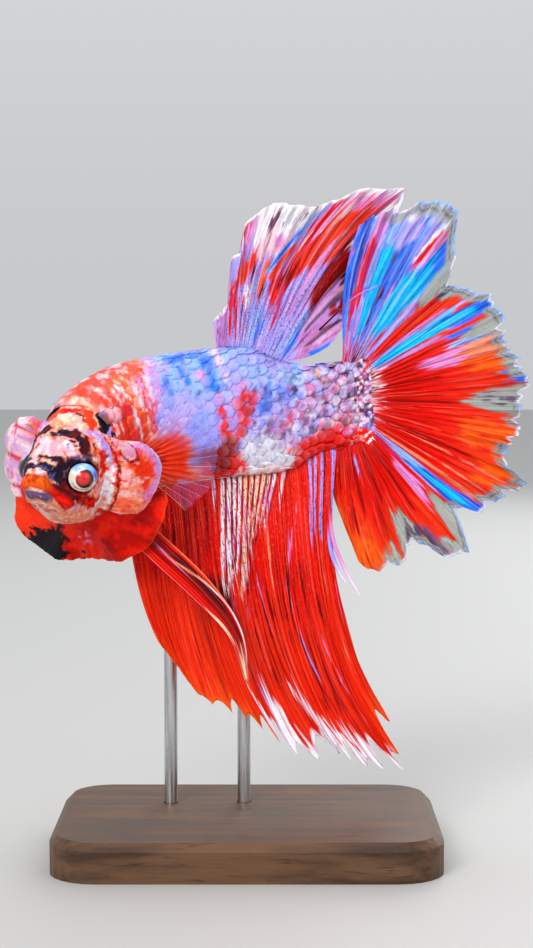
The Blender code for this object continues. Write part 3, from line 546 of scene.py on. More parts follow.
# Head strokes, in the same terms; one wholly on the left side also shows on the right.
HEAD_MARKS = (
    ("blush", 110, 95, 0, (3.2, 120), (3.5, 96), (3.6, 76), (3.9, 62)),
    ("peach", 70, 60, 15, (5.4, 150), (5.8, 128), (5.4, 108)),
    ("salmon", 110, 90, 25, (2.6, -70), (4.5, -52), (6, -50)),
    ("cream", 75, 60, 15, (3.4, -104), (5.2, -84), (7, -62)), ("coral", 60, 40, 20, (9, 4), (9.6, -22)),
    ("cream", 62, 50, 0, (7.2, 104), (7.3, 86), (7, 70), (6.5, 59)),
    ("blush", 40, 32, 0, (6.4, 66), (6.3, 57)), ("salmon", 35, 30, 30, (6.6, 108), (6.4, 92)),
    ("cream", 55, 45, 5, (10, 98), (9.5, 76), (8.9, 60)),
    ("red", 42, 36, 0, (7.6, 150), (8.2, 120), (8.4, 96), (8.3, 84)),
    ("maroon", 30, 26, 0, (7, 148), (7.5, 128), (7.7, 112)),
    ("maroon", 26, 24, 0, (8.2, 88), (8, 76), (7.7, 69)),
    ("flame", 62, 50, 0, (8.5, 70), (7.9, 60), (7.4, 52)),
    ("flame", 90, 70, 10, (11.4, 100), (11, 74), (10.2, 54)),
    ("flame", 80, 60, 15, (13.4, 112), (13, 84), (12, 58)),
    ("flame", 60, 45, 10, (12, 42), (11.6, 24), (11, 8)),
    ("blush", 55, 45, 5, (10, 60), (10.2, 46), (10.1, 30)), ("white", 40, 30, 10, (11.9, 82), (11.5, 66)),
    ("white", 36, 30, 15, (13, 62), (12.6, 48)), ("ink", 66, 60, 0, (9.4, 58), (9, 46), (8.8, 36)),
    ("black", 42, 36, 0, (9.2, 54), (8.8, 40)), ("ink", 26, 22, 0, (8.8, 36), (9.6, 28)),
    ("azure", 20, 16, 0, (9.9, 55), (9.9, 50)), ("white", 26, 22, 0, (10, 48), (9.8, 36)),
    ("lavender", 46, 40, 8, (7, 50), (7.2, 36), (7.2, 22)), ("white", 26, 22, 25, (6.9, 46), (7.1, 28)),
    ("ink", 22, 18, 0, (7.9, 36), (8.1, 22), (7.9, 8)), ("deep", 26, 20, 10, (7.6, 22), (7.6, 12)),
    ("lavender", 40, 42, 0, (9, 34), (8.5, 22), (8, 8)),
    ("white", 55, 60, 0, (7.9, 4), (7.5, -12), (7, -26), (6.3, -38)),
    ("cream", 40, 40, 0, (7.8, -34), (6.8, -46), (5.6, -60)), ("maroon", 14, 12, 0, (8.3, -20), (7.8, -36)),
    ("ink", 44, 50, 0, (5, 98), (5.6, 82), (5.7, 70)),
    ("maroon", 58, 60, 0, (5.8, 68), (5.7, 54), (5.4, 40), (5, 30)),
    ("ink", 34, 28, 20, (5.6, 62), (5.2, 46)), ("slate", 16, 14, 0, (5, 92), (5.3, 84)),
    ("silver", 42, 40, 0, (4.3, 74), (4.2, 62)), ("ink", 14, 12, 0, (4.7, 72), (4.9, 62), (4.5, 54)),
    ("ink", 12, 10, 0, (4.2, 68), (4.1, 64)), ("deep", 30, 24, 0, (6.4, 34), (6.2, 26)),
    ("dusk", 50, 40, 0, (3.6, 40), (4.4, 30), (5.2, 26)), ("ink", 50, 36, 15, (3.2, 40), (4, 32)),
    ("red", 42, 36, 0, (6.8, 18), (7, 6), (6.8, -4)), ("flame", 22, 18, 0, (3.5, 62), (3.2, 46)),
    ("ink", 46, 42, 0, (2.4, 92), (2.4, 70), (2.6, 52), (3, 40)),
    ("cream", 30, 28, 0, (2.9, 66), (2.8, 56)),
    ("maroon", 80, 70, 0, (2.2, 44), (2.4, 24), (2.6, 4), (2.6, -10)),
    ("deep", 62, 50, 0, (2.8, -14), (4.2, -26), (6.2, -28)), ("ink", 50, 42, 10, (2, 34), (2.2, 10)),
    ("dusk", 20, 16, 10, (1.6, 14), (2.1, -6)), ("maroon", 50, 44, 0, (1.4, 2), (2, -14), (3, -24)),
    ("ink", 50, 44, 0, (2.5, 40), (2.8, 24), (2.8, 8)), ("dusk", 22, 18, 10, (2.9, 36), (3.1, 24)),
    ("deep", 34, 30, 0, (2.8, 4), (2.9, -12)), ("red", 34, 30, 20, (3.6, -24), (5.4, -30), (6.4, -24)),
    ("ink", 56, 54, 0, (0.9, 172), (1.2, 125), (1.3, 80), (1.6, 45), (2, 24)),
    # The slate line below the dark snout band is a painted highlight.
    ("slate", 20, 18, 10, (1.2, 110), (1.2, 70), (1.5, 36)),
    # The black strokes on the right side round its eye are painted shade.
    ("black", 90, 90, 0, (2.2, 160), (3.2, 168), (4.6, 172)), ("black", 60, 60, 0, (4.2, 150), (5, 158)),
    ("periwinkle", 22, 18, 10, (2.5, 144), (2.7, 136)),
    ("dusk", 50, 40, 0, (1, -165), (1.4, -140), (1.6, -120)), ("ink", 30, 26, 20, (1.2, -150), (1.9, -110)),
    ("cream", 28, 24, 0, (1.9, -156), (3, -134), (4.6, -116)),
    ("peach", 60, 45, 10, (2.2, -84), (3, -66), (3.8, -52)),
    ("coral", 20, 16, 20, (2.4, -46), (3.6, -66), (4.4, -72)), ("blush", 50, 40, 10, (2, -96), (3, -104)),
)
ONE_SIDED = 80  # degrees from the flank's middle within which a head stroke is on one side
LATERAL_LINE = (24.0, 37.0, 20.0, 0.98, 0.11)  # start, end, degrees, spacing and radius of its pores


def flesh_tints(points):
    """The flesh's colours at points in the fish's frame."""
    s, right, up = body_place(points)
    height, depth, half = flow(BODY_SECTIONS, np.clip(s, 0, FLESH_END)).T
    upright = np.sign(up) * (abs(up) / np.where(up > 0, height, depth)) ** (1 / SECTION_POWER)
    degrees = np.degrees(np.arctan2(upright, (abs(right) / half) ** (1 / SECTION_POWER)))
    flank = ragged(np.stack([s, degrees * ROUND_MM], -1), 0.55, 81)
    coarse = rough_noise(points, 1.6, 11)
    specks = rough_noise(points, 0.42, 21)
    wobble = (rough_noise(points, 0.7, 31) - 0.5) * 0.5
    tints = coated("cream", len(points))
    blotch, dots = rough_noise(points, 1.0, 12), rough_noise(points, 0.6, 13)
    lay(tints, ("blush", ease(blotch, 0.52, 0.62) * 0.8), ("salmon", ease(dots, 0.56, 0.66) * 0.75),
        ("coral", ease(coarse, 0.58, 0.68) * (0.35 + 0.6 * ease(s, 4, 8))),
        ("deep", ease(dots, 0.74, 0.82) * 0.5))
    seams = line_at(blotch, 0.55, 0.022) + line_at(blotch, 0.4, 0.018)
    lay(tints, ("flame", np.clip(seams, 0, 1) * 0.7),
        ("dusk", ease(rough_noise(points, 0.7, 14), 0.76, 0.86) * 0.5),
        ("flame", ease(s + coarse, 9.0, 10.5)))
    plates = rough_noise(np.stack([s / 0.8, degrees / 22, right], -1), 1.0, 41)
    breast = ease(s, 9.5, 11)
    lay(tints, ("blush", breast * ease(plates, 0.6, 0.7) * ease(degrees, -30, -5)),
        ("orange", breast * ease(plates, 0.3, 0.22)), ("deep", breast * line_at(plates, 0.58, 0.02) * 0.7))
    flank_start = 19.6 + 1.2 * np.sin(np.radians(degrees)) + (coarse - 0.5) * 1.4
    lay(tints, ("lavender", ease(s, flank_start - 0.3, flank_start + 0.3)),
        ("sky", ease(s, 20, 22) * ease(plates, 0.4, 0.62) * ease(degrees, 5, 30)),
        ("periwinkle", ease(s, 21, 24) * ease(specks, 0.62, 0.85) * 0.6))
    edge = 34 - 16 * (coarse - 0.5)
    belly = ease(-degrees, edge - 4, edge + 4)
    lay(tints, ("red", belly * ease(s, 9.5, 10.5)),
        ("flame", belly * ease(16.5 - s, 0, 2) * ease(s, 9.5, 10.5)))
    for name, start, end, broken, *line in FLANK_MARKS:
        line = np.array(line) * (1, ROUND_MM)
        lay(tints, (name, stroke_mask(flank, (start, end, broken), line, specks, wobble)))
    root_specks = rough_noise(points * (0.6, 1, 1), 0.2, 43)
    near_fin = ease(s + (coarse - 0.5) * 3, 38.4, 42.0) * ease(degrees, -40, -20)
    lay(tints, ("mauve", near_fin * 0.6), ("rose", near_fin * ease(coarse, 0.52, 0.66) * 0.6),
        ("dusk", near_fin * ease(root_specks, 0.6, 0.68) * 0.7),
        ("silver", near_fin * ease(root_specks, 0.38, 0.3) * 0.6),
        ("white", ease(s + (coarse - 0.5) * 3, 41.0, 43.0) * ease(root_specks, 0.44, 0.36) * 0.85),
        ("flame", ease(s, 40.8, 41.6) * ease(degrees, 35, 45) * ease(coarse, 0.5, 0.6)))
    fleck = rough_noise(points * (1.0, 1, 0.7), 0.34, 45)
    rearward = ease(s, 27, 35) * ease(degrees, -45, -25)
    lay(tints, ("ink", rearward * ease(fleck, 0.74, 0.8) * 0.7),
        ("blush", rearward * ease(fleck, 0.28, 0.2) * 0.8),
        ("dusk", rearward * ease(-degrees, -25, 5) * ease(fleck, 0.56, 0.66) * 0.6),
        ("azure", rearward * ease(degrees, -10, 15) * ease(fleck, 0.4, 0.34) * 0.5))
    granular = ease(s, 32, 37) * ease(degrees, -34, -14)
    lay(tints, ("silver", granular * ease(fleck, 0.4, 0.3) * 0.6),
        ("rose", granular * ease(specks, 0.6, 0.72) * 0.45),
        ("ink", granular * ease(fleck, 0.66, 0.74) * 0.6))
    start, end, level, spacing, radius = LATERAL_LINE
    nearest = np.clip(np.round((s - start) / spacing), 0, (end - start) / spacing) * spacing + start
    pore = np.hypot(s - nearest, (degrees - level) * ROUND_MM)
    lay(tints, ("black", fade(pore, radius * 0.8, radius * 1.5)))
    # Head strokes are laid on the smooth outline, so that sockets and lips don't part them.
    turned = np.arctan2(upright, -np.sign(right) * (abs(right) / half) ** (1 / SECTION_POWER))
    own = np.stack([right, up], -1)
    smooth = own + (np.stack(body_outline(s, math.pi - turned), -1) - own) * ease(s, -0.2, 0.5)[:, None]
    here = ragged(np.column_stack([s, smooth]), 0.55, 91)
    mirrored = here * (1, 0, 1) - abs(here) * (0, 1, 0)
    ahead = s < 14
    head_tints = tints[ahead]
    for name, start, end, broken, *line in HEAD_MARKS:
        backs, turns = np.array(line).T
        line = np.stack([backs, *body_outline(backs, np.radians(180 - turns))], -1)
        at = (mirrored if max(abs(turns)) < ONE_SIDED else here)[ahead]
        mask = stroke_mask(at, (start, end, broken), line, specks[ahead], wobble[ahead])
        lay(head_tints, (name, mask))
    pale = ease(head_tints[:, 1], 0.25, 0.45)
    swirl = rough_noise(points[ahead], 0.6, 16)
    lay(head_tints, ("rose", pale * ease(swirl, 0.56, 0.66) * 0.45),
        ("coral", pale * ease(swirl, 0.32, 0.26) * 0.45), ("dusk", pale * line_at(swirl, 0.5, 0.016) * 0.4))
    tints[ahead] = head_tints
    return tints


def nearest_on_sheet(points, grid, within):
    """For points within reach of a sheet: a mask, and the place across and along it."""
    rows, cols = grid.shape[:2]
    low, high = grid.min((0, 1)) - within, grid.max((0, 1)) + within
    close = np.all((points > low) & (points < high), axis=1)
    found = np.where(close)[0]
    best, spot = np.full(len(found), 1e9), np.zeros(len(found), int)
    flat = grid.reshape(-1, 3)
    for first in range(0, len(flat), 256):
        gaps = np.linalg.norm(points[found][:, None] - flat[None, first:first + 256], axis=2)
        at = gaps.argmin(1)
        nearer = gaps[np.arange(len(found)), at] < best
        spot = np.where(nearer, first + at, spot)
        best = np.minimum(best, gaps[np.arange(len(found)), at])
    keep = best < within
    return found[keep], (spot[keep] // cols) / (rows - 1), (spot[keep] % cols) / (cols - 1)


tints = flesh_tints(skin_points)
# Under the gill covers the flesh is painted dark red, as shade under the covers.
across = abs(np.degrees(np.arctan2(head_shape[:, 2] + 0.9, abs(head_shape[:, 1]))))
cover_shade = ease(head_shape[:, 0], 8.0, 8.6) * fade(head_shape[:, 0], 9.6, 11.4)
cover_shade = cover_shade * fade(across, 26, 44)
lay(tints, ("deep", cover_shade * 0.85))
specks = rough_noise(head_shape, 0.42, 51)
coarse = rough_noise(head_shape, 1.3, 52)
# The lids are dark, and red behind and below.
for side, _ in SIDES:
    around = head_shape - np.array(EYE_PLACE) * (1, side, 1)
    lid = fade(np.linalg.norm(around, axis=1) + (specks - 0.5) * 0.4, EYE_RADIUS + 0.25, EYE_RADIUS + 0.6)
    behind = ease(around[:, 0] * 0.7 - around[:, 2] * 0.7 + (coarse - 0.5), -0.4, 0.6)
    lay(tints, ("ink", lid * (1 - behind)), ("deep", lid * behind))
for (kind, hand), grid in throat_sheets.items():
    found, v, u = nearest_on_sheet(head_shape, grid, 0.42)
    part, speck, lump = coated("red", len(found)), specks[found], coarse[found]
    folds = rough_noise(np.stack([v * 7, u * 1.6], -1), 1.0, 61)
    if kind == "beard":
        # On the beard the deep patches over lumps and folds are painted shade and the flame patches painted
        # light; the orange rim is its own colour.
        lay(part, ("deep", ease(lump, 0.45, 0.75) * 0.55 + ease(folds, 0.55, 0.75) * 0.3),
            ("flame", ease(lump, 0.4, 0.2) * 0.5), ("orange", ease(u, 0.955, 0.985) * 0.7))
        if hand == "right":
            lay(part, ("flame", fade(v, 0.4, 0.55) * 0.8))
        reach = {"right": (0.585, 0.215), "left": (1.06, 0.06)}[hand]
        dark = np.hypot((v - reach[0]) / reach[1], (u - 0.86) / 0.56) + (speck - 0.5) * 0.55
        lay(part, ("black", fade(dark, 0.85, 1.0)),
            ("pink", ease(speck, 0.7, 0.78) * ease(v, 0.88, 0.93) * fade(u, 0.5, 0.7) * 0.8))
    elif hand == "left":
        lay(part, ("flame", 1.0 + 0 * u), ("salmon", ease(lump + (v < 0.4) * 0.2, 0.42, 0.62) * 0.85),
            ("mauve", ease(u, 0.3, 0.5) * fade(abs(v - 0.16), 0.16, 0.22) * 0.6),
            ("blush", ease(folds + (speck - 0.5) * 0.3, 0.58, 0.68) * ease(u, 0.2, 0.4) * 0.75),
            ("pink", ease(u + (folds - 0.5) * 0.3, 0.74, 0.88) * 0.9),
            ("mauve", ease(u + (folds - 0.5) * 0.2, 0.84, 0.93) * fade(v, 0.5, 0.62)))
        rim = ease(u + (speck - 0.5) * 0.1, 0.9, 0.97)
        lay(part, ("lavender", rim * ease(v, 0.28, 0.4) * fade(v, 0.5, 0.64)),
            ("salmon", ease(v + (lump - 0.5) * 0.2, 0.72, 0.86) * 0.8))
        fine = rough_noise(np.stack([v * 15, u * 2.6], -1), 1.0, 62)
        lay(part, ("blush", ease(fine, 0.42, 0.32) * ease(u, 0.15, 0.3) * 0.6),
            ("flame", ease(fine, 0.6, 0.7) * ease(u, 0.15, 0.3) * fade(u, 0.75, 0.9) * 0.55))
        from_lobe = np.hypot((v - 0.22) / 0.2, (u - 0.5) / 0.2) + (speck - 0.5) * 0.2
        lobe = fade(from_lobe, 0.85, 1.0)
        from_cheek = u + (speck - 0.5) * 0.06
        cheek = fade(from_cheek, 0.1, 0.14)
        lay(part, ("peach", lobe * 0.6), ("mauve", lobe * ease(folds, 0.4, 0.6) * 0.6),
            ("deep", fade(abs(from_lobe - 1.0), 0.05, 0.12)),
            ("deep", fade(abs(from_cheek - 0.17 - 0.05 * v), 0.015, 0.04)), ("lavender", cheek),
            ("white", cheek * ease(v, 0.4, 0.55)), ("red", ease(speck, 0.7, 0.84) * 0.5),
            ("white", ease(u, 0.955, 0.99) * 0.8))
    else:
        lay(part, ("blush", 1.0 + 0 * u), ("mauve", ease(lump, 0.45, 0.65) * 0.7),
            ("rose", ease(folds + (speck - 0.5) * 0.4, 0.62, 0.74) * 0.7))
        depth, count, start = COVER_LOBES["right"]
        valley = 1 - abs(np.sin(math.pi * (count * v + start)))
        lay(part, ("deep", ease(valley + (speck - 0.5) * 0.2, 0.8, 0.95) * ease(u, 0.25, 0.5)),
            ("rose", ease(valley + (speck - 0.5) * 0.3, 0.55, 0.8) * ease(u, 0.25, 0.5) * 0.6),
            ("coral", fade(u + (lump - 0.5) * 0.2, 0.25, 0.4) * 0.8), ("white", ease(u, 0.93, 0.985)))
    tints[found] += (part - tints[found]) * ease(u, 0.01, 0.06)[:, None]
# The lips last: an orange-red upper lip, a lower one painted dusky in its middle as shade with a painted
# highlight there, and the gap between painted dark as shade.
# The maroon line between the lips is painted shade in the mouth's gap.
between_lips = lip_lines[0] * 0.5 + lip_lines[1] * 0.5
for name, line, girth in (("maroon", between_lips, 0.26), ("salmon", lip_lines[1], 0.5),
                          ("red", lip_lines[0], 0.6)):
    gaps = np.linalg.norm(head_shape[:, None] - line[None, :], axis=2)
    away, outward = gaps.min(1), abs(gaps.argmin(1) / (len(line) - 1) - 0.5) * 2
    on_lip = fade(away + (specks - 0.5) * 0.12, girth, girth + 0.12)
    lay(tints, (name, on_lip))
    from_middle = outward + (coarse - 0.5) * 0.3
    if name == "red":
        lay(tints, ("orange", on_lip * fade(from_middle, 0.15, 0.5)),
            ("deep", on_lip * ease(coarse, 0.62, 0.8) * 0.7),
            ("maroon", on_lip * ease(away, girth - 0.12, girth) * 0.5))
    if name == "salmon":
        # The lower lip's dusky middle is painted shade, and its blush patches in the middle a painted
        # highlight.
        lay(tints, ("dusk", on_lip * fade(from_middle, 0.45, 0.6)),
            ("ink", on_lip * fade(outward, 0.45, 0.6) * ease(specks, 0.45, 0.7) * 0.7),
            ("blush", on_lip * fade(outward, 0.1, 0.25) * ease(coarse, 0.5, 0.6) * 0.6))
tints[:, 3] = 1.0
store_tints(skin.data, tints)


def new_material(name):
    """A material, its node tree and its Principled shader."""
    material = bpy.data.materials.new(name)
    material.use_nodes = True
    tree = material.node_tree
    return material, tree, tree.nodes["Principled BSDF"]


def feed(socket, value):
    """Sets a socket to a value, or joins it to another node's socket."""
    if isinstance(value, bpy.types.NodeSocket):
        socket.id_data.links.new(value, socket)
    else:
        socket.default_value = value


def fill(node, **values):
    """Feeds a node's inputs by name, with _ for a space."""
    for label, value in values.items():
        feed(node.inputs[label.replace("_", " ")], value)


def add(tree, kind, **values):
    """A node of that kind; values are its own settings, and what feeds its inputs."""
    node = tree.nodes.new(kind)
    for key, value in values.items():
        if hasattr(node, key):
            setattr(node, key, value)
        else:
            fill(node, **{key: value})
    return node


def sum_of(tree, operation, a, b=0.0):
    """A Math node on two values, each a socket or a number."""
    node = add(tree, "ShaderNodeMath", operation=operation)
    feed(node.inputs[0], a)
    feed(node.inputs[1], b)
    return node.outputs[0]


def times(tree, a, b):
    return sum_of(tree, "MULTIPLY", a, b)


def color_mix(tree, mode, factor, a, b):
    node = add(tree, "ShaderNodeMix", data_type="RGBA", blend_type=mode, clamp_factor=True)
    for place, value in ((0, factor), (6, a), (7, b)):
        feed(node.inputs[place], value)
    return node.outputs[2]


def band(tree, value, low, high, out_low=0.0, out_high=1.0):
    """A smooth step from one value to another as the value given passes from low to high."""
    node = add(tree, "ShaderNodeMapRange", interpolation_type="SMOOTHSTEP", Value=value, From_Min=low,
               From_Max=high, To_Min=out_low, To_Max=out_high)
    return node.outputs[0]


def new_group(name, kind, inputs, outputs):
    """A node group with named sockets (name, kind, value to start from): the tree, its two ends."""
    tree = bpy.data.node_groups.new(name, kind)
    for way, rows in (("INPUT", inputs), ("OUTPUT", outputs)):
        for label, socket, *start in rows:
            made = tree.interface.new_socket(label, in_out=way, socket_type="NodeSocket" + socket)
            if start:
                made.default_value = start[0]
    return tree, tree.nodes.new("NodeGroupInput"), tree.nodes.new("NodeGroupOutput")


# Wet skin: pigment grains and fine wrinkles laid over the painted tint, for skin, scales and fins.
grains, given, result = new_group(
    "wet_skin_grain", "ShaderNodeTree",
    (("Color", "Color"), ("Grain Size", "Float", 0.2), ("Depth", "Float", 0.3)),
    (("Color", "Color"), ("Height", "Float"), ("Rough", "Float")))
coords = add(grains, "ShaderNodeTexCoord").outputs["Object"]
per_metre = sum_of(grains, "DIVIDE", 1000.0, given.outputs["Grain Size"])
fine = add(grains, "ShaderNodeTexNoise", Vector=coords, Scale=per_metre, Detail=4.0, Roughness=0.6).outputs[0]
cells = add(grains, "ShaderNodeTexVoronoi", feature="F1", Vector=coords, Scale=times(grains, per_metre, 0.7),
            Randomness=1.0)
dark_cell = band(grains, cells.outputs["Distance"], 0.55, 0.85)
light_grain = times(grains, band(grains, fine, 0.52, 0.72), given.outputs["Depth"])
dark_grain = times(grains, dark_cell, given.outputs["Depth"])
lighter = color_mix(grains, "MULTIPLY", light_grain, given.outputs["Color"], (1.6, 1.6, 1.6, 1.0))
darker = color_mix(grains, "MULTIPLY", dark_grain, lighter, (0.35, 0.2, 0.3, 1.0))
fill(result, Color=darker, Height=sum_of(grains, "SUBTRACT", fine, times(grains, dark_cell, 0.3)),
     Rough=band(grains, fine, 0.3, 0.7, 0.28, 0.46))


def wet_material(name, grain_size, depth, bump, specular, coat, coat_rough):
    """A wet material in a piece's own tints, through nodes named tint, grain and relief."""
    material, tree, shader = new_material(name)
    tint = add(tree, "ShaderNodeVertexColor", name="tint", layer_name="Tint")
    grain = add(tree, "ShaderNodeGroup", name="grain", node_tree=grains, Color=tint.outputs["Color"],
                Grain_Size=grain_size, Depth=depth)
    relief = add(tree, "ShaderNodeBump", name="relief", Strength=bump, Distance=0.00008,
                 Height=grain.outputs["Height"])
    fill(shader, Base_Color=grain.outputs["Color"], Roughness=grain.outputs["Rough"],
         Normal=relief.outputs[0], Specular_IOR_Level=specular, Coat_Weight=coat,
         Coat_Roughness=coat_rough)
    return material


def fit(piece, material, slot, *nodes):
    """Finishes a piece: smooth, fixed to the root body, and shown in place of the nodes' solids."""
    if material:
        piece.data.materials.clear()
        piece.data.materials.append(material)
    piece.data.shade_smooth()
    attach(piece, "root")
    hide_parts(*nodes)


fit(skin, wet_material("wet_skin", 0.22, 0.22, 0.35, 0.12, 0.1, 0.12), "head_skin",
    "head", "lower_jaw", "trunk_front", "trunk_rear", "tail_stem",
    "gill_cover_left", "gill_cover_right", "beard_left", "beard_right")

# ---- Scales: thin plates set in rows, each overlapping the next one towards the tail ----
# On the real fish they are bone plates in pockets of skin. One plate is shaped here, and a tree
# of nodes sets a copy on every place, its root sunk in the skin and its free edge standing off.
SCALE_PITCH, SCALE_SPACING = 0.98, 1.42  # along the body, and round it
SCALE_LENGTH, SCALE_WIDTH, SCALE_WALL = 1.8, 1.75, 0.05
SCALE_ROWS, SCALE_COLS = 6, 5  # points of the plate's grid, root to free edge and across
SCALE_CURVE = 5.6  # radius of its crosswise curve
SCALE_SINK, SCALE_LIFT = 0.06, 0.035  # its root in the skin, and its free edge off it
STEM_START = 31.0  # scales from here on are the tail's
UNWRAP_PATCH = 0.003  # each scale's side on the unwrap of the skin


def store_values(mesh, label, values):
    """Values, or triples of them, on a mesh's points."""
    kind, field = ("FLOAT_VECTOR", "vector") if values.ndim > 1 else ("FLOAT", "value")
    layer = mesh.attributes.new(label, kind, "POINT")
    layer.data.foreach_set(field, values.ravel().astype(np.float32))


def values_of(mesh, label, width):
    """What store_values put on a mesh's points, and a tree of nodes carried on."""
    values = np.empty(len(mesh.vertices) * width, np.float32)
    mesh.attributes[label].data.foreach_get("vector" if width > 1 else "value", values)
    return values.reshape(-1, width)


def store_unwrap(mesh, name, places):
    """An unwrap from each point's place on it."""
    layer = mesh.uv_layers.new(name=name)
    corners = np.empty(len(mesh.loops), np.int32)
    mesh.loops.foreach_get("vertex_index", corners)
    layer.data.foreach_set("uv", places[corners].ravel().astype(np.float32))


def grow(name, guide, tree, **inputs):
    """The piece that a tree of nodes makes from a guide, as a plain mesh."""
    growth = guide.modifiers.new("grow", "NODES")
    growth.node_group = tree
    sockets = {item.name: item.identifier for item in tree.interface.items_tree}
    for label, value in inputs.items():
        growth[sockets[label]] = value
    apply_modifiers(guide)
    piece = new_object(name, guide.data)
    bpy.data.objects.remove(guide)
    return piece


def scale_plate():
    """One scale in metres: +X to its free edge, +Z outward, and its own unwrap, 0 to 1."""
    lengthwise, crosswise = np.linspace(0, 1, SCALE_ROWS), np.linspace(-1, 1, SCALE_COLS)
    x, y = np.meshgrid(lengthwise, crosswise, indexing="ij")
    round_end = 0.5 + 0.5 * np.sqrt(np.clip(1 - ((x - 0.35) / 0.66) ** 2, 0, 1))
    half = SCALE_WIDTH / 2 * np.where(x > 0.35, 2 * round_end - 1, 0.8 + 0.2 * x / 0.35)
    across = y * np.maximum(half, 0.14)
    outward = -across**2 / (2 * SCALE_CURVE) - SCALE_SINK + (SCALE_SINK + SCALE_LIFT) * x
    plate = np.stack([x * SCALE_LENGTH * (1 - 0.07 * y**2 * x), across, outward], -1)
    points, faces = sheet_solid(plate, SCALE_WALL * (1 - 0.5 * x))
    if points[0, 2] < points[SCALE_ROWS * SCALE_COLS, 2]:
        faces = [face[::-1] for face in faces]
    plate = mesh_object("scale_plate", points - TAIL_ROOT, faces)
    own = np.stack([x, y / 2 + 0.5, 0 * x], -1).reshape(-1, 3)
    store_values(plate.data, "Own", np.vstack([own, own]))
    return plate


def scale_places():
    """Where each scale roots: spine length and angle round the body, in staggered columns."""
    places = []
    draws = np.random.default_rng(19)
    for column, s in enumerate(np.arange(NAPE + 0.6, BODY_LENGTH + 0.4, SCALE_PITCH)):
        ring = np.linspace(0, 2 * math.pi, 181)
        right, up = body_outline(s, ring)
        length = np.concatenate([[0], np.cumsum(np.hypot(np.diff(right), np.diff(up)))])
        count = max(8, round(length[-1] / SCALE_SPACING))
        spots = (np.arange(count) + 0.5 * (column % 2)) / count * length[-1]
        for angle in np.interp(spots, length, ring):
            ahead, aside = draws.normal(0, (0.045, 0.008))
            places.append((s + ahead, angle + aside))
    return np.array(places)


places = scale_places()
s, angle = places.T
# The flesh under the gill covers and beard is bare.
bare_throat = (s < 11.6) & (np.sin(angle) < 0.62)
s, angle = s[~bare_throat], angle[~bare_throat]
root = on_body(s, *body_outline(s, angle))
NEXT_ALONG, NEXT_ROUND = 0.2, 0.04  # how far to the places that give a scale its directions
tailward = unit(on_body(s + NEXT_ALONG, *body_outline(s + NEXT_ALONG, angle))
                - on_body(s - NEXT_ALONG, *body_outline(s - NEXT_ALONG, angle)))
sideways = (on_body(s, *body_outline(s, angle + NEXT_ROUND))
            - on_body(s, *body_outline(s, angle - NEXT_ROUND)))
outward = np.cross(tailward, sideways)
outward = unit(outward * np.sign((outward * (root - spine_at(s)[0])).sum(1))[:, None])
ways = np.stack([tailward, np.cross(outward, tailward), outward], 2)
turns = np.array([tuple(Matrix(way.tolist()).to_euler()) for way in ways])
half_width = flow(BODY_SECTIONS, s)[:, 2]
sizes = (0.8 + 0.2 * ease(half_width, 0.9, 2.6)) * (1 - 0.18 * ease(s, 37, 42))

# The tree sets a plate on every place, turned and sized by the place's own values.
setter_tree, given, result = new_group(
    "set_scales", "GeometryNodeTree",
    (("Places", "Geometry"), ("Plate", "Object"), ("Size", "Float", 1.0), ("Material", "Material")),
    (("Scales", "Geometry"),))
plate = add(setter_tree, "GeometryNodeObjectInfo", Object=given.outputs["Plate"])
turn = add(setter_tree, "GeometryNodeInputNamedAttribute", data_type="FLOAT_VECTOR", Name="Turn")
growth = add(setter_tree, "GeometryNodeInputNamedAttribute", data_type="FLOAT", Name="Growth")
size = times(setter_tree, growth.outputs["Attribute"], given.outputs["Size"])
setter = add(setter_tree, "GeometryNodeInstanceOnPoints", Points=given.outputs["Places"],
             Instance=plate.outputs["Geometry"], Rotation=turn.outputs["Attribute"], Scale=size)
real = add(setter_tree, "GeometryNodeRealizeInstances", Geometry=setter.outputs["Instances"])
coat = add(setter_tree, "GeometryNodeSetMaterial", Geometry=real.outputs["Geometry"],
           Material=given.outputs["Material"])
fill(result, Scales=coat.outputs["Geometry"])

scale_material = wet_material("fish_scale", 0.16, 0.28, 0.3, 0.35, 0.2, 0.12)
tree = scale_material.node_tree
own = add(tree, "ShaderNodeAttribute", attribute_name="Own")
split = add(tree, "ShaderNodeSeparateXYZ", Vector=own.outputs["Vector"])
ridges = sum_of(tree, "SINE", times(tree, split.outputs["X"], 75.0))
fill(tree.nodes["relief"],
     Height=sum_of(tree, "ADD", tree.nodes["grain"].outputs["Height"], times(tree, ridges, 0.25)))

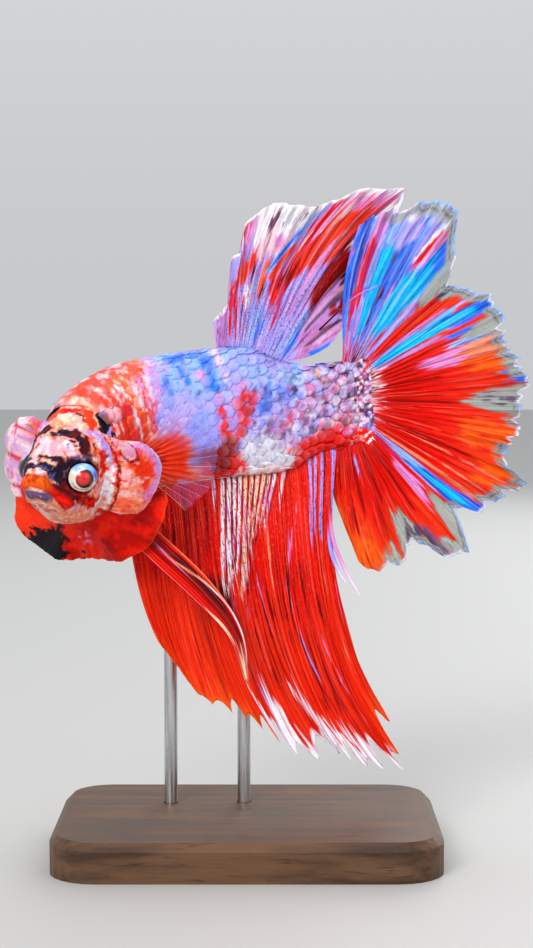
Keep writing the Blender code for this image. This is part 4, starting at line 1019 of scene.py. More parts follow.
plate = scale_plate()
for name, ours, node in (("body_scales", s < STEM_START, "trunk_rear"),
                         ("tail_scales", s >= STEM_START, "tail_stem")):
    places = mesh_object(name + "_places", root[ours], [])
    store_values(places.data, "Turn", turns[ours])
    store_values(places.data, "Growth", sizes[ours])
    store_values(places.data, "Number", np.arange(ours.sum(), dtype=float))
    coat = grow(name, places, setter_tree, Plate=plate, Size=1.0, Material=scale_material)
    number = values_of(coat.data, "Number", 1)[:, 0].astype(int)
    own_x, own_y, _ = values_of(coat.data, "Own", 3).T
    centre = (root + tailward * SCALE_LENGTH * 0.62)[ours]
    tints = flesh_tints(points_of(coat) / MM - TAIL_ROOT) * 0.75 + flesh_tints(centre)[number] * 0.25
    draws = np.random.default_rng(23).random((len(centre), 2))[number]
    tints[:, :3] *= (0.9 + 0.22 * draws[:, :1])
    s_here, angle_here = s[ours][number], angle[ours][number]
    # A dark rim along each scale's free edge and sides is painted shade, and a pale patch in its middle a
    # painted sheen.
    edge = np.maximum(ease(own_x, 0.82, 1.0), ease(abs(own_y - 0.5), 0.36, 0.5) * ease(own_x, 0.4, 0.6))
    painted_sheen = ease(own_x, 0.45, 0.75) * (1 - edge) * 0.12 * draws[:, 1] * ease(s_here, 18, 21)
    lay(tints, ("slate", edge * 0.1), ("white", painted_sheen))
    tints[:, 3] = 1.0
    store_tints(coat.data, tints)
    unwrap = np.stack([s_here / 45, angle_here / (2 * math.pi)], -1)
    store_unwrap(coat.data, "OFBake", unwrap + np.stack([own_x, own_y], -1) * UNWRAP_PATCH)
    fit(coat, None, name, node)
bpy.data.objects.remove(plate)

# ---- Eyes: glassy balls with a ringed iris, set in the sockets ----
# Each is one ball. Its rings are painted round the line it looks along, with a painted highlight over the
# ring's top and a painted red glow in the pupil, and a clear coat wets it.
EYE_RINGS, EYE_SEGMENTS = 64, 96
CORNEA_BULGE, IRIS_DIP = 0.05, 0.03  # shares of the radius
PUPIL = 0.7
for side, hand in SIDES:
    heading = unit(np.array(EYE_HEADINGS[hand]) * (1, side, 1))
    aside = unit(np.cross(heading, (0, 0, 1.0)))
    over = np.cross(aside, heading)
    tilt = np.linspace(0, math.pi, EYE_RINGS + 1)[1:-1, None, None]
    turn = np.linspace(0, 2 * math.pi, EYE_SEGMENTS, endpoint=False)[None, :, None]
    bulge = EYE_RADIUS * (1 + CORNEA_BULGE * line_at(tilt, 0, 0.45) - IRIS_DIP * line_at(tilt, 0.75, 0.2))
    ball = bulge * (np.cos(tilt) * heading + np.sin(tilt) * (np.cos(turn) * aside + np.sin(turn) * over))
    ball = ball.reshape(-1, 3)
    local = np.vstack([ball, heading * EYE_RADIUS * (1 + CORNEA_BULGE), -heading * EYE_RADIUS])
    faces = ring_faces(EYE_RINGS - 1, EYE_SEGMENTS)
    front, rear = len(ball), len(ball) + 1
    last = (EYE_RINGS - 2) * EYE_SEGMENTS
    for here in range(EYE_SEGMENTS):
        there = (here + 1) % EYE_SEGMENTS
        faces += [[front, here, there], [rear, last + there, last + here]]
    if side < 0:
        faces = [face[::-1] for face in faces]
    place = np.array(EYE_PLACE) * (1, side, 1) + local
    eye = mesh_object(f"eye_ball_{hand}", on_body(place[:, 0], place[:, 1], place[:, 2]), faces)
    radius = np.arccos(np.clip(local @ heading / np.linalg.norm(local, axis=1), -1, 1)) * EYE_RADIUS
    clock = np.arctan2(local @ over, -side * (local @ aside))
    spot = np.stack([np.cos(clock), np.sin(clock)], -1)
    streaks = rough_noise(spot * 3.0, 0.5, 71)
    flecks = rough_noise(local, 0.3, 72)
    shift = (flecks - 0.5) * 0.1
    rearward = np.cos(clock - 2.35)
    tints = coated("black", len(local))
    inner = radius + shift - 0.22 * np.cos(clock + 2.6)
    lay(tints, ("cream", fade(radius + shift, 1.68, 1.8)),
        ("white", fade(radius + shift, 1.66, 1.78) * ease(streaks, 0.35, 0.65) * 0.7),
        ("ink", ease(abs(radius + shift - 1.36), 0.08, 0.03) * ease(-np.sin(clock), -0.1, 0.4) * 0.75))
    # The azure and sky arc over the top of the iris ring, with its cyan and white flecks, is a painted
    # highlight.
    blue = ease(rearward, 0.15, 0.65) * ease(radius + shift + 0.25 * ease(rearward, 0.5, 1), 1.3, 1.44)
    lay(tints, ("azure", blue * fade(radius, 1.74, 1.84)))
    top_highlight = ease(np.cos(clock - 1.75), 0.4, 0.8) * ease(radius + shift, 0.9, 1.04)
    lay(tints, ("sky", top_highlight * fade(radius, 1.7, 1.82)),
        ("cyan", top_highlight * fade(radius, 1.6, 1.75) * ease(streaks, 0.4, 0.6) * 0.5),
        ("white", top_highlight * ease(flecks, 0.5, 0.7) * fade(radius, 1.4, 1.55) * 0.6),
        ("black", fade(inner, 0.94, 1.04)),
        # On the right eye one half of the iris is painted black as shade.
        ("black", ease(-rearward, -0.3, 0.1) * ease(radius, 0.8, 0.95) * (side > 0)),
        # The deep and red disc in the pupil is a painted reflection, the glow from the back of the eye.
        ("deep", fade(radius + shift * 0.8, PUPIL, PUPIL + 0.1)),
        ("red", fade(radius + shift, PUPIL - 0.16, PUPIL) * 0.7))
    tints[:, 3] = 1.0
    store_tints(eye.data, tints)
    fit(eye, wet_material(f"wet_eye_{hand}", 0.12, 0.14, 0.08, 0.5, 1.0, 0.03), "eye", f"eye_{hand}")

# ---- Tail fin: a half moon of branched rays with a thin web between them ----
# On the real fish bony rays fan from the tail root and fork several times. The web is one closed
# sheet pleated from ray to ray, and the rays are bars that a tree of nodes runs along the fold lines.
CAUDAL_TIPS = (
    (87, 19.0), (81, 20.9), (75, 22.1), (70, 22.8), (65, 24.0), (59, 22.8), (55, 19.8), (51, 17.5),
    (45, 17.4), (37, 19.0), (31, 19.2), (24, 18.4), (14, 19.1), (5, 19.7), (-2, 18.6), (-9, 18.8),
    (-20, 18.2), (-25, 21.2), (-31, 20.0), (-40, 18.5), (-46, 16.7), (-52, 21.2), (-58, 20.0),
    (-66, 16.8), (-71, 18.3), (-78, 18.6), (-85, 18.4), (-89, 15.6), (-97, 11.4),
)  # degrees above straight back, and length, from the top edge round to the bottom
CAUDAL_ROOT_TOP, CAUDAL_ROOT_BOTTOM = 4.7, -5.0
CAUDAL_ROOT_BULGE = (-0.5, 1.1)
CAUDAL_ROOT_REACH = 1.7  # how far the lowest rays start ahead of the others, along the belly's edge
CAUDAL_LEAN, CAUDAL_FRILL = 0.6, 0.3  # how far the outer rays and the edge's waves stand to the side


def fin_points(v, u, root, rays, ripple):
    """Points of a fin across (v) and along (u) its rays, as the solid fin has them."""

    flat = flow(rays, v.ravel())
    tip, bow = flat[:, :3].reshape(*v.shape, 3), flat[:, 3].reshape(v.shape)
    chord = tip - root
    sideways = np.stack([-chord[..., 2], 0 * bow, chord[..., 0]], -1)
    sideways /= np.hypot(chord[..., 0], chord[..., 2])[..., None]
    swing = bow * 4 * np.maximum(u, 0) ** 1.3 * (1 - u)
    depth, waves = ripple
    points = root + chord * u[..., None] + sideways * swing[..., None]
    points[..., 1] += depth * u * u * np.sin(2 * math.pi * waves * v)
    return points


def caudal_root(v):
    z = CAUDAL_ROOT_TOP + (CAUDAL_ROOT_BOTTOM - CAUDAL_ROOT_TOP) * v
    ends, bulge = CAUDAL_ROOT_BULGE
    ahead = CAUDAL_ROOT_REACH * ease(v, 0.82, 1.0)
    return on_body(BODY_LENGTH + ends + bulge * (1 - (2 * v - 1) ** 4) - ahead, 0 * z, z)


def caudal_points(v, u):
    top, bottom = CAUDAL_TIPS[0][0], CAUDAL_TIPS[-1][0]
    rays = []
    for degrees, length in CAUDAL_TIPS:
        place, turn = (top - degrees) / (top - bottom), math.radians(degrees)
        bow = 1.0 * (1 - 2 * place) ** 3 * length / 19
        lean = CAUDAL_LEAN * (2 * place - 1) ** 2
        rays.append((place, length * math.cos(turn), lean, length * math.sin(turn), bow))
    points = fin_points(v, u, caudal_root(v), rays, (0.45, 5))
    points[..., 1] += CAUDAL_FRILL * ease(u, 0.55, 1.0) * np.sin(2 * math.pi * 17 * v + 3 * np.sin(9 * v))
    return points


def margin(v, teeth, depth, sharp, seed, raggedness=0.5):
    """How much of its length the web keeps beside each ray: full at the ray, notched between."""
    uneven = noise(np.stack([v * teeth, 0 * v], -1), 1.1, seed)
    notch = abs(np.sin(math.pi * teeth * v)) ** sharp * (1 - raggedness + 2 * raggedness * uneven)
    lobes = rough_noise(np.stack([v * teeth, 0 * v], -1), 2.6, seed + 1)
    scallops = abs(np.sin(math.pi * (teeth / 2.4 * v + 0.5 * uneven))) ** 0.7
    return 1 - depth * (notch * 0.3 + lobes * 0.5 + (1 - scallops) * 0.9 * raggedness)


def paint_along_rays(tints, u, v, marks, teeth, seed):
    """Lays marks on a fin, (paint, from, across, half width, to, across, half width, how broken up).

    From and to are percent of the ray's length, across and half width thousandths of the fin's
    width. How broken up is in percent, and 0 where it isn't given.
    """
    grainy = rough_noise(np.stack([v * teeth * 1.6, u * 9], -1), 1.0, seed)
    lines = rough_noise(np.stack([v * teeth * 2.2, u * 1.6], -1), 1.0, seed + 5)
    edges = (rough_noise(np.stack([v * teeth * 1.1, u * 7], -1), 1.0, seed + 9) - 0.5) * 0.45
    ragged = u + (lines - 0.5) * 0.13
    for name, *row in marks:
        start, across, half, end, across_end, half_end = row[:6] / np.array((100, 1000, 1000) * 2)
        t = np.clip((u - start) / (end - start), 0, 1)
        away = abs(v - across - (across_end - across) * t) / (half + (half_end - half) * t)
        mask = fade(away + edges, 0.7, 1.12)
        if start > 0:
            mask = mask * ease(ragged, start - 0.02, start + 0.03)
        if end < 1:
            mask = mask * fade(ragged, end - 0.03, end + 0.02)
        for broken in row[6:]:
            mask = mask * ease(grainy * 0.6 + lines * 0.4, broken / 100 - 0.06, broken / 100 + 0.06)
        lay(tints, (name, mask))
    return lines


# The tree runs a round bar along each line, as thick at each point as the point's girth.
bar_tree, given, result = new_group(
    "fin_ray_bars", "GeometryNodeTree",
    (("Lines", "Geometry"), ("Sides", "Int", 6), ("Material", "Material")), (("Bars", "Geometry"),))
line = add(bar_tree, "GeometryNodeMeshToCurve", Mesh=given.outputs["Lines"])
girth = add(bar_tree, "GeometryNodeInputNamedAttribute", data_type="FLOAT", Name="Girth")
ring = add(bar_tree, "GeometryNodeCurvePrimitiveCircle", Resolution=given.outputs["Sides"], Radius=1.0)
sweep = add(bar_tree, "GeometryNodeCurveToMesh", Curve=line.outputs["Curve"], Fill_Caps=True,
            Profile_Curve=ring.outputs["Curve"], Scale=girth.outputs["Attribute"])
real = add(bar_tree, "GeometryNodeRealizeInstances", Geometry=sweep.outputs["Mesh"])
coat = add(bar_tree, "GeometryNodeSetMaterial", Geometry=real.outputs["Geometry"],
           Material=given.outputs["Material"])
fill(result, Bars=coat.outputs["Geometry"])
ray_material = wet_material("fin_ray", 0.15, 0.15, 0.2, 0.2, 0.06, 0.12)


def bars_along(name, lines, girths, tints, sides, slot, node):
    """Round bars along lines of points in millimetres, each point with its girth and tint."""
    edges, start = [], 0
    for line in lines:
        edges += [(start + i, start + i + 1) for i in range(len(line) - 1)]
        start += len(line)
    guide = mesh_object(name + "_lines", np.vstack(lines), [], edges=edges)
    store_values(guide.data, "Girth", np.concatenate(girths) * MM)
    store_tints(guide.data, np.vstack(tints))
    fit(grow(name, guide, bar_tree, Sides=sides, Material=ray_material), None, slot, node)


# A web lets light through, thins to clear at its edge, and carries dark lines beside its rays, painted as
# shade in the grooves of its pleats.
net, given, result = new_group(
    "fin_web_lines", "ShaderNodeTree",
    (("Color", "Color"), ("Rays", "Float"), ("Strength", "Float"), ("Grain", "Float"),
     ("Grain Reach", "Float")),
    (("Color", "Color"), ("Height", "Float")))
unwrap = add(net, "ShaderNodeUVMap", uv_map="Web")
split = add(net, "ShaderNodeSeparateXYZ", Vector=unwrap.outputs["UV"])
ray_number = times(net, split.outputs["Y"], given.outputs["Rays"])


def stretched_noise(along, across, scale, detail):
    """Noise over a web, with its own number of lumps along the rays and across each ray."""
    place = add(net, "ShaderNodeCombineXYZ", X=times(net, split.outputs["X"], along),
                Y=times(net, ray_number, across))
    return add(net, "ShaderNodeTexNoise", Vector=place.outputs[0], Scale=scale, Detail=detail,
               Roughness=0.6).outputs[0]


fibres = stretched_noise(1.4, 1.0, 3.0, 3.0)
hairs = stretched_noise(0.8, 1.3, 3.0, 3.0)
grit = stretched_noise(70.0, 4.0, 1.0, 1.0)
beside = sum_of(net, "ABSOLUTE", sum_of(net, "SINE", times(net, ray_number, math.pi)))
beside = sum_of(net, "POWER", beside, 3.0)
reached = sum_of(net, "DIVIDE", split.outputs["X"], given.outputs["Grain Reach"])
near_root = band(net, reached, 0.2, 1.0, 1.0, 0.0)
parted = add(net, "ShaderNodeSeparateColor", Color=given.outputs["Color"])
paleness = band(net, parted.outputs["Green"], 0.05, 0.45)
on_pale = times(net, near_root, paleness)
on_dark = times(net, near_root, sum_of(net, "SUBTRACT", 1.0, paleness))
pale_grit = times(net, on_pale, band(net, grit, 0.38, 0.44, 1.0, 0.0))
color = given.outputs["Color"]
# The first layer below darkens the web between its rays: painted shade in the pleats' grooves.
for mode, mask, strength, share, tone in (
    ("MULTIPLY", times(net, beside, band(net, fibres, 0.4, 0.6)), "Strength", 0.9, (0.62, 0.3, 0.42)),
    ("MULTIPLY", band(net, hairs, 0.34, 0.41, 1.0, 0.0), "Strength", 1.1, (0.52, 0.28, 0.45)),
    ("SCREEN", band(net, hairs, 0.57, 0.66), "Strength", 1.0, (0.34, 0.075, 0.075)),
    ("SCREEN", times(net, on_dark, band(net, grit, 0.57, 0.64)), "Grain", 0.35, (0.42, 0.16, 0.2)),
    ("MULTIPLY", pale_grit, "Grain", 1.0, (0.4, 0.14, 0.26)),
):
    mask = times(net, mask, times(net, given.outputs[strength], share))
    color = color_mix(net, mode, mask, color, (*tone, 1.0))
fill(result, Color=color, Height=sum_of(net, "SUBTRACT", sum_of(net, "ADD", fibres, hairs), beside))


def web_material(name, rays, strength, granular=0.0, reach=0.3):
    material = wet_material(name, 0.2, 0.12, 0.3, 0.15, 0.04, 0.15)
    tree = material.node_tree
    tint, grain, relief = (tree.nodes[label] for label in ("tint", "grain", "relief"))
    lines = add(tree, "ShaderNodeGroup", node_tree=net, Color=tint.outputs["Color"], Rays=rays,
                Strength=strength, Grain=granular, Grain_Reach=reach)
    fill(grain, Color=lines.outputs["Color"])
    fill(relief, Height=sum_of(tree, "ADD", grain.outputs["Height"], lines.outputs["Height"]))
    fill(tree.nodes["Principled BSDF"], Alpha=tint.outputs["Alpha"])
    return material


def build_fin(name, slot, node, points_at, tints_at, kept_at, rays, lines, grid, wall, pleat, forks,
              reach, girth, hand="", steps=40, lighten=0.0, foot=0.0, edge_tints=None):
    """A fin: one closed pleated web and its rays, which fork in two at every reach in forks.

    points_at and tints_at give the places and tints across (v) and along (u) the fin, kept_at the
    share of its length that the web keeps beside each ray.
    """
    def pleated(u, v):
        points = points_at(v, u)
        points[..., 1] += pleat * ease(u, 0.03, 0.3) * np.cos(2 * math.pi * rays * v)
        return points

    v, share = np.meshgrid(np.linspace(0, 1, grid[0]), np.linspace(0, 1, grid[1]), indexing="ij")
    u = foot + share * (kept_at(v[:, 0])[:, None] - foot)
    points, faces = sheet_solid(pleated(u, v), wall[0] + (wall[1] - wall[0]) * share)
    web = mesh_object(f"{name}_web{hand}", points, faces)
    u, v, share = (np.tile(part.ravel(), 2) for part in (u, v, share))
    tints = tints_at(u, v)
    if edge_tints:
        edge_tints(tints, share, v)
    store_tints(web.data, tints)
    store_unwrap(web.data, "Web", np.stack([u, v], -1))
    fit(web, web_material(f"{name}_skin{hand}", *lines), slot, node)

    middles, girths, tints = [], [], []
    bunch = 2 ** len(forks)
    thickness = girth[0] + (girth[1] - girth[0]) * np.linspace(0, 1, steps) ** 0.7
    thickness[-1] *= 0.4
    for ray in range(rays + 1):
        place = ray / rays
        u = np.linspace(0, 1, steps) * (kept_at(np.array([place]))[0] * reach if forks else reach)
        v = np.full(steps, place)
        if forks:
            heart = (ray // bunch + 0.5) * bunch / rays
            parting = sum(ease(u, fork, fork + 0.22) for fork in forks) / len(forks)
            v = np.clip(heart + (place - heart) * parting, 0, 1)
        middles.append(pleated(u, v))
        girths.append(thickness)
        shades = tints_at(u, v)
        lay(shades, ("white", np.full(steps, lighten)))
        shades[:, 3] = 1.0
        tints.append(shades)
    bars_along(f"{name}_rays{hand}", middles, girths, tints, 6, slot, node)


CAUDAL_RAYS = 56
CAUDAL_MARKS = (
    ("periwinkle", 10, 66, 92, 100, 70, 98), ("sky", 20, 70, 70, 100, 70, 80, 58),
    ("azure", 30, 12, 14, 100, 10, 14, 30), ("cobalt", 30, 22, 4, 95, 20, 5, 10),
    ("sky", 40, 100, 34, 92, 104, 34, 50), ("azure", 34, 104, 30, 86, 108, 26, 45),
    ("slate", 34, 104, 30, 70, 108, 22, 64), ("lavender", 70, 108, 28, 100, 112, 30, 50),
    ("lavender", 6, 44, 30, 46, 40, 18, 35), ("rose", 10, 34, 20, 50, 36, 12, 50),
    ("pink", 52, 42, 14, 100, 48, 14, 10), ("red", 40, 44, 9, 80, 46, 8, 15),
    ("cyan", 12, 82, 12, 72, 76, 13), ("maroon", 14, 106, 12, 44, 110, 10, 50),
    ("pink", 24, 120, 8, 46, 124, 6, 40), ("veil", 88, 126, 14, 100, 128, 18),
    ("white", 88, 96, 30, 100, 96, 34, 45), ("cyan", 6, 136, 20, 74, 164, 25),
    ("azure", 60, 164, 24, 100, 163, 14, 10), ("cyan", 50, 162, 12, 80, 164, 10, 20),
    ("pink", 58, 142, 8, 100, 150, 10), ("red", 60, 138, 4, 94, 148, 5),
    ("white", 64, 133, 2, 96, 143, 3, 10), ("glass", 64, 192, 13, 100, 194, 22),
    ("glass", 84, 216, 16, 100, 222, 26), ("slate", 80, 204, 8, 98, 210, 14, 50),
    ("lavender", 12, 178, 10, 62, 190, 7, 10), ("red", 16, 206, 13, 80, 218, 20),
    ("flame", 45, 212, 12, 84, 228, 14, 10), ("mauve", 14, 232, 11, 76, 244, 6, 20),
    ("lavender", 20, 238, 4, 90, 252, 4, 10), ("cyan", 5, 254, 16, 76, 270, 23),
    ("azure", 66, 272, 22, 100, 286, 17, 5), ("cyan", 60, 268, 10, 86, 278, 8, 20),
    ("glass", 90, 256, 14, 100, 258, 20, 20), ("mauve", 12, 286, 10, 60, 296, 7, 20),
    ("azure", 56, 306, 6, 84, 310, 7, 15), ("sky", 60, 326, 6, 88, 330, 6, 20),
    ("glass", 72, 318, 12, 100, 320, 26), ("sky", 66, 333, 6, 100, 336, 7, 30),
    ("pink", 42, 356, 20, 76, 358, 20), ("salmon", 66, 354, 16, 100, 356, 20),
    ("orange", 66, 388, 22, 88, 390, 18, 10), ("glass", 84, 408, 26, 100, 410, 34),
    ("azure", 86, 420, 16, 100, 424, 20, 30), ("glass", 66, 468, 14, 100, 474, 42),
    ("dusk", 72, 462, 10, 96, 470, 20, 50), ("orange", 60, 540, 30, 97, 560, 40, 30),
    ("glass", 95, 590, 30, 100, 600, 34, 20), ("orange", 70, 620, 30, 96, 630, 32, 30),
    ("salmon", 10, 664, 6, 90, 676, 5, 30), ("lavender", 2, 682, 14, 40, 690, 15),
    ("sky", 26, 690, 14, 60, 698, 14), ("azure", 46, 697, 14, 100, 700, 21, 5),
    ("cyan", 50, 699, 6, 90, 700, 8, 10), ("lavender", 30, 708, 4, 80, 716, 4, 10),
    ("rose", 16, 712, 14, 44, 722, 12, 45), ("pink", 34, 740, 12, 64, 742, 12, 10),
    ("glass", 68, 736, 11, 100, 742, 18), ("glass", 84, 775, 18, 100, 775, 34),
    ("flame", 50, 764, 14, 86, 764, 8), ("glass", 66, 832, 18, 100, 826, 40),
    ("dusk", 72, 800, 16, 98, 812, 40, 50), ("glass", 84, 876, 16, 100, 880, 20),
    ("orange", 60, 940, 50, 100, 930, 60, 30), ("flame", 20, 950, 30, 70, 950, 50, 40),
    ("deep", 8, 905, 4, 56, 900, 3), ("deep", 10, 930, 3, 66, 925, 3, 10), ("deep", 8, 965, 4, 50, 955, 3),
    ("lavender", 14, 894, 8, 28, 890, 6, 30), ("mauve", 0, 130, 130, 22, 120, 110, 50),
    ("white", 0, 330, 120, 18, 340, 80, 42), ("blush", 0, 500, 140, 14, 500, 100, 48),
    ("maroon", 0, 250, 200, 16, 250, 180, 62), ("coral", 16, 560, 2.2, 85, 570, 2.2, 20),
    ("salmon", 22, 605, 2.2, 90, 625, 2.2, 20), ("salmon", 18, 640, 2.2, 90, 655, 2.2, 20),
    ("coral", 16, 450, 2.4, 60, 455, 2.2, 20), ("coral", 20, 500, 2.4, 70, 510, 2.2, 20),
    ("deep", 16, 395, 4, 50, 400, 3), ("deep", 14, 470, 4, 60, 478, 3), ("deep", 14, 590, 4, 70, 600, 3),
    ("deep", 16, 780, 5, 60, 786, 3), ("deep", 14, 850, 5, 56, 850, 3),
)


def caudal_tints(u, v):
    tints = coated("red", len(u))
    lay(tints, ("deep", fade(u, 0.2, 0.6) * 0.28), ("flame", ease(u, 0.45, 0.8) * 0.8))
    lines = paint_along_rays(tints, u, v, CAUDAL_MARKS, CAUDAL_RAYS, 81)
    blue_side = fade(v, 0.17, 0.2)
    lay(tints, ("cobalt", ease(lines, 0.68, 0.82) * blue_side * ease(u, 0.3, 0.5) * 0.4),
        ("sky", ease(lines, 0.36, 0.22) * blue_side * 0.55))
    lay(tints, ("deep", ease(lines, 0.68, 0.85) * (1 - blue_side) * 0.4 * (tints[:, 0] > 0.5)))
    return tints


def caudal_edge(tints, share, v):
    sides = ease(v, 0.03, 0.07) * fade(v, 0.88, 0.92)
    uneven = rough_noise(np.stack([v * 60, 0 * v], -1), 1.0, 97)
    lay(tints, ("glass", ease(share, 0.9, 0.95) * sides * ease(uneven, 0.2, 0.5)),
        ("slate", line_at(share, 0.955, 0.008) * sides * ease(uneven, 0.5, 0.7) * 0.6))
    rim = ease(share, 0.975, 0.99) * sides
    lay(tints, ("sky", rim * (0.6 + 0.4 * ease(uneven, 0.4, 0.7))),
        ("white", rim * ease(uneven, 0.6, 0.4) * 0.7))


build_fin("tail_fin", "fin_blue", "fin_caudal", caudal_points, caudal_tints,
          lambda v: margin(v, CAUDAL_RAYS, 0.062, 1.2, 91, 0.9), CAUDAL_RAYS, (CAUDAL_RAYS, 0.9, 0.9, 0.3),
          grid=(449, 96), wall=(0.13, 0.05), pleat=0.1, forks=(0.06, 0.3), reach=0.985,
          girth=(0.095, 0.035), foot=-0.06, edge_tints=caudal_edge)

# ---- Back fin: soft rays from the rear of the back, swept towards the tail ----
# The same webbed build as the tail fin. Its rear rays cross in front of the tail fin's top edge.
DORSAL_SPAN = (28.3, 35.8)  # spine lengths of its root
DORSAL_TIPS = (
    (0.0, -14.6, -1.4, 8.6, 0.0), (0.08, -12.9, -1.6, 11.0, 0.0), (0.16, -12.6, -1.8, 15.2, 0.2),
    (0.19, -11.5, -1.8, 15.9, 0.3), (0.25, -11.3, -1.8, 18.4, 0.4), (0.32, -9.4, -1.6, 20.3, 0.5),
    (0.39, -7.4, -1.3, 21.0, 0.7), (0.5, -4.0, -0.4, 20.8, 1.0),
    (0.61, -1.2, 1.0, 21.7, 1.3), (0.71, 2.2, 2.5, 22.9, 1.6), (0.8, 6.2, 4.0, 22.9, 2.0),
    (0.86, 4.5, 4.0, 17.8, 1.6), (0.9, 1.8, 3.6, 15.4, 1.1), (0.925, 0.6, 2.9, 12.9, 0.7),
    (0.95, 0.0, 1.8, 10.4, 0.3), (0.975, -0.6, 0.6, 8.4, 0.0), (1.0, -1.9, -0.4, 6.4, -0.4),
)  # place across the fin, the tip, and how far the ray bows at mid-length
FIN_FOOT = 0.1  # clear of the back's ridge or the belly's
DORSAL_RAYS = 22
DORSAL_MARKS = (
    ("mauve", 0, 60, 100, 100, 60, 100, 25), ("mauve", 5, 300, 180, 40, 320, 180, 50),
    ("sky", 0, 450, 120, 30, 460, 100, 45), ("sky", 4, 800, 120, 34, 840, 100, 35),
    ("azure", 8, 500, 30, 22, 500, 24, 15), ("azure", 6, 720, 20, 30, 740, 16, 10),
    ("cobalt", 5, 755, 10, 34, 765, 8, 10), ("azure", 4, 880, 30, 26, 900, 24, 20),
    ("rose", 36, 195, 60, 74, 235, 70, 36), ("red", 40, 175, 34, 60, 200, 44, 35),
    ("red", 58, 240, 50, 96, 285, 40, 42), ("pink", 64, 305, 44, 93, 312, 36, 35),
    ("blush", 40, 220, 80, 90, 270, 80, 68), ("flame", 44, 285, 38, 62, 305, 44),
    ("flame", 54, 335, 22, 72, 345, 20, 5), ("maroon", 44, 352, 10, 60, 362, 10, 10),
    ("white", 28, 330, 40, 46, 335, 40, 35), ("sky", 28, 378, 22, 50, 385, 20, 5),
    ("rose", 16, 230, 120, 62, 250, 120, 60), ("red", 30, 300, 90, 66, 310, 80, 64),
    ("red", 10, 180, 12, 34, 178, 20, 5), ("red", 6, 262, 8, 36, 262, 12, 10),
    ("ink", 4, 305, 6, 28, 310, 6, 20), ("blush", 62, 440, 80, 86, 450, 100),
    ("pink", 66, 460, 50, 80, 470, 60, 35), ("veil", 80, 440, 110, 100, 440, 140),
    ("white", 76, 410, 90, 100, 450, 130, 42), ("white", 70, 335, 18, 100, 345, 20),
    ("dusk", 84, 450, 100, 97, 460, 110, 64), ("orange", 34, 425, 20, 60, 435, 20, 5),
    ("maroon", 36, 445, 16, 44, 450, 16, 30), ("red", 28, 540, 30, 52, 620, 130),
    ("red", 46, 640, 150, 97, 715, 120), ("flame", 46, 485, 26, 72, 520, 26),
    ("flame", 50, 700, 100, 96, 740, 90, 30), ("deep", 40, 600, 100, 60, 640, 120, 52),
    ("sky", 50, 445, 16, 96, 572, 32), ("azure", 52, 450, 8, 80, 525, 10, 20),
    ("lavender", 10, 700, 110, 38, 770, 100), ("mauve", 20, 680, 110, 44, 780, 90, 45),
    ("rose", 18, 600, 50, 42, 590, 50, 45), ("pink", 52, 560, 10, 82, 600, 12, 10),
    ("white", 56, 582, 5, 74, 606, 6, 10), ("pink", 64, 640, 14, 95, 672, 14),
    ("white", 70, 662, 5, 97, 688, 8), ("blush", 74, 702, 10, 97, 722, 12, 5),
    # The deep and maroon bands at 850 to 940 across the fin are painted shade on its rear rays.
    ("pink", 42, 740, 12, 66, 750, 10, 30), ("deep", 34, 850, 50, 100, 850, 40),
    ("maroon", 46, 890, 20, 100, 900, 30), ("mauve", 20, 950, 60, 76, 955, 60),
    ("mauve", 10, 980, 30, 100, 990, 30, 10), ("deep", 66, 930, 14, 100, 940, 24, 20),
    ("dusk", 30, 925, 5, 90, 930, 5, 10), ("dusk", 30, 965, 5, 90, 965, 5, 10),
    ("azure", 40, 996, 6, 90, 998, 6, 10), ("white", 66, 826, 6, 98, 820, 8),
    ("pink", 86, 740, 60, 97, 740, 70, 40), ("white", 95, 740, 80, 100, 750, 90, 20),
    ("white", 96, 500, 300, 100, 500, 330, 30), ("white", 85, 60, 60, 100, 60, 70, 35),
)


def ridge_fin_points(span, edge, tips, depth):
    """Points of a fin on the ridge of the back (edge 1) or of the belly (edge -1)."""
    def points_at(v, u):
        s = span[0] + (span[1] - span[0]) * v
        ridge = flow(BODY_SECTIONS, s.ravel())[:, 0 if edge > 0 else 1].reshape(v.shape)
        return fin_points(v, u, on_body(s, 0 * s, edge * (ridge + FIN_FOOT)), tips, (depth, 4))
    return points_at


def dorsal_tints(u, v):
    tints = coated("lavender", len(u))
    lines = paint_along_rays(tints, u, v, DORSAL_MARKS, DORSAL_RAYS * 2, 101)
    lay(tints, ("deep", ease(lines, 0.76, 0.9) * 0.35), ("blush", ease(lines, 0.24, 0.12) * 0.35))
    return tints


def dorsal_edge(tints, share, v):
    lay(tints, ("white", ease(share, 0.965, 0.99) * fade(v, 0.84, 0.88)))


build_fin("back_fin", "fin_pale", "fin_dorsal", ridge_fin_points(DORSAL_SPAN, 1, DORSAL_TIPS, 0.25),
          dorsal_tints, lambda v: margin(v, DORSAL_RAYS, 0.03, 0.8, 111), DORSAL_RAYS,
          (DORSAL_RAYS, 0.75, 0.8, 0.9), grid=(331, 96), wall=(0.13, 0.05), pleat=0.12,
          forks=(0.12,), reach=0.995, girth=(0.085, 0.035), lighten=0.08, edge_tints=dorsal_edge)
# One loose strand hangs from its rear edge across the tail's root.
STRAND = ((0.0, -3.4, 0.6, 7.6), (0.4, -1.2, -0.6, 9.7), (0.7, 0.5, -1.6, 11.2), (1.0, 2.6, -2.0, 12.2))
t = np.linspace(0, 1, 40)
shades = coated("maroon", len(t))
lay(shades, ("mauve", ease(t, 0.3, 0.7)))
bars_along("back_fin_strand", [flow(STRAND, t)], [np.linspace(0.11, 0.06, 40)], [shades], 8,
           "fin_pale", "fin_dorsal")

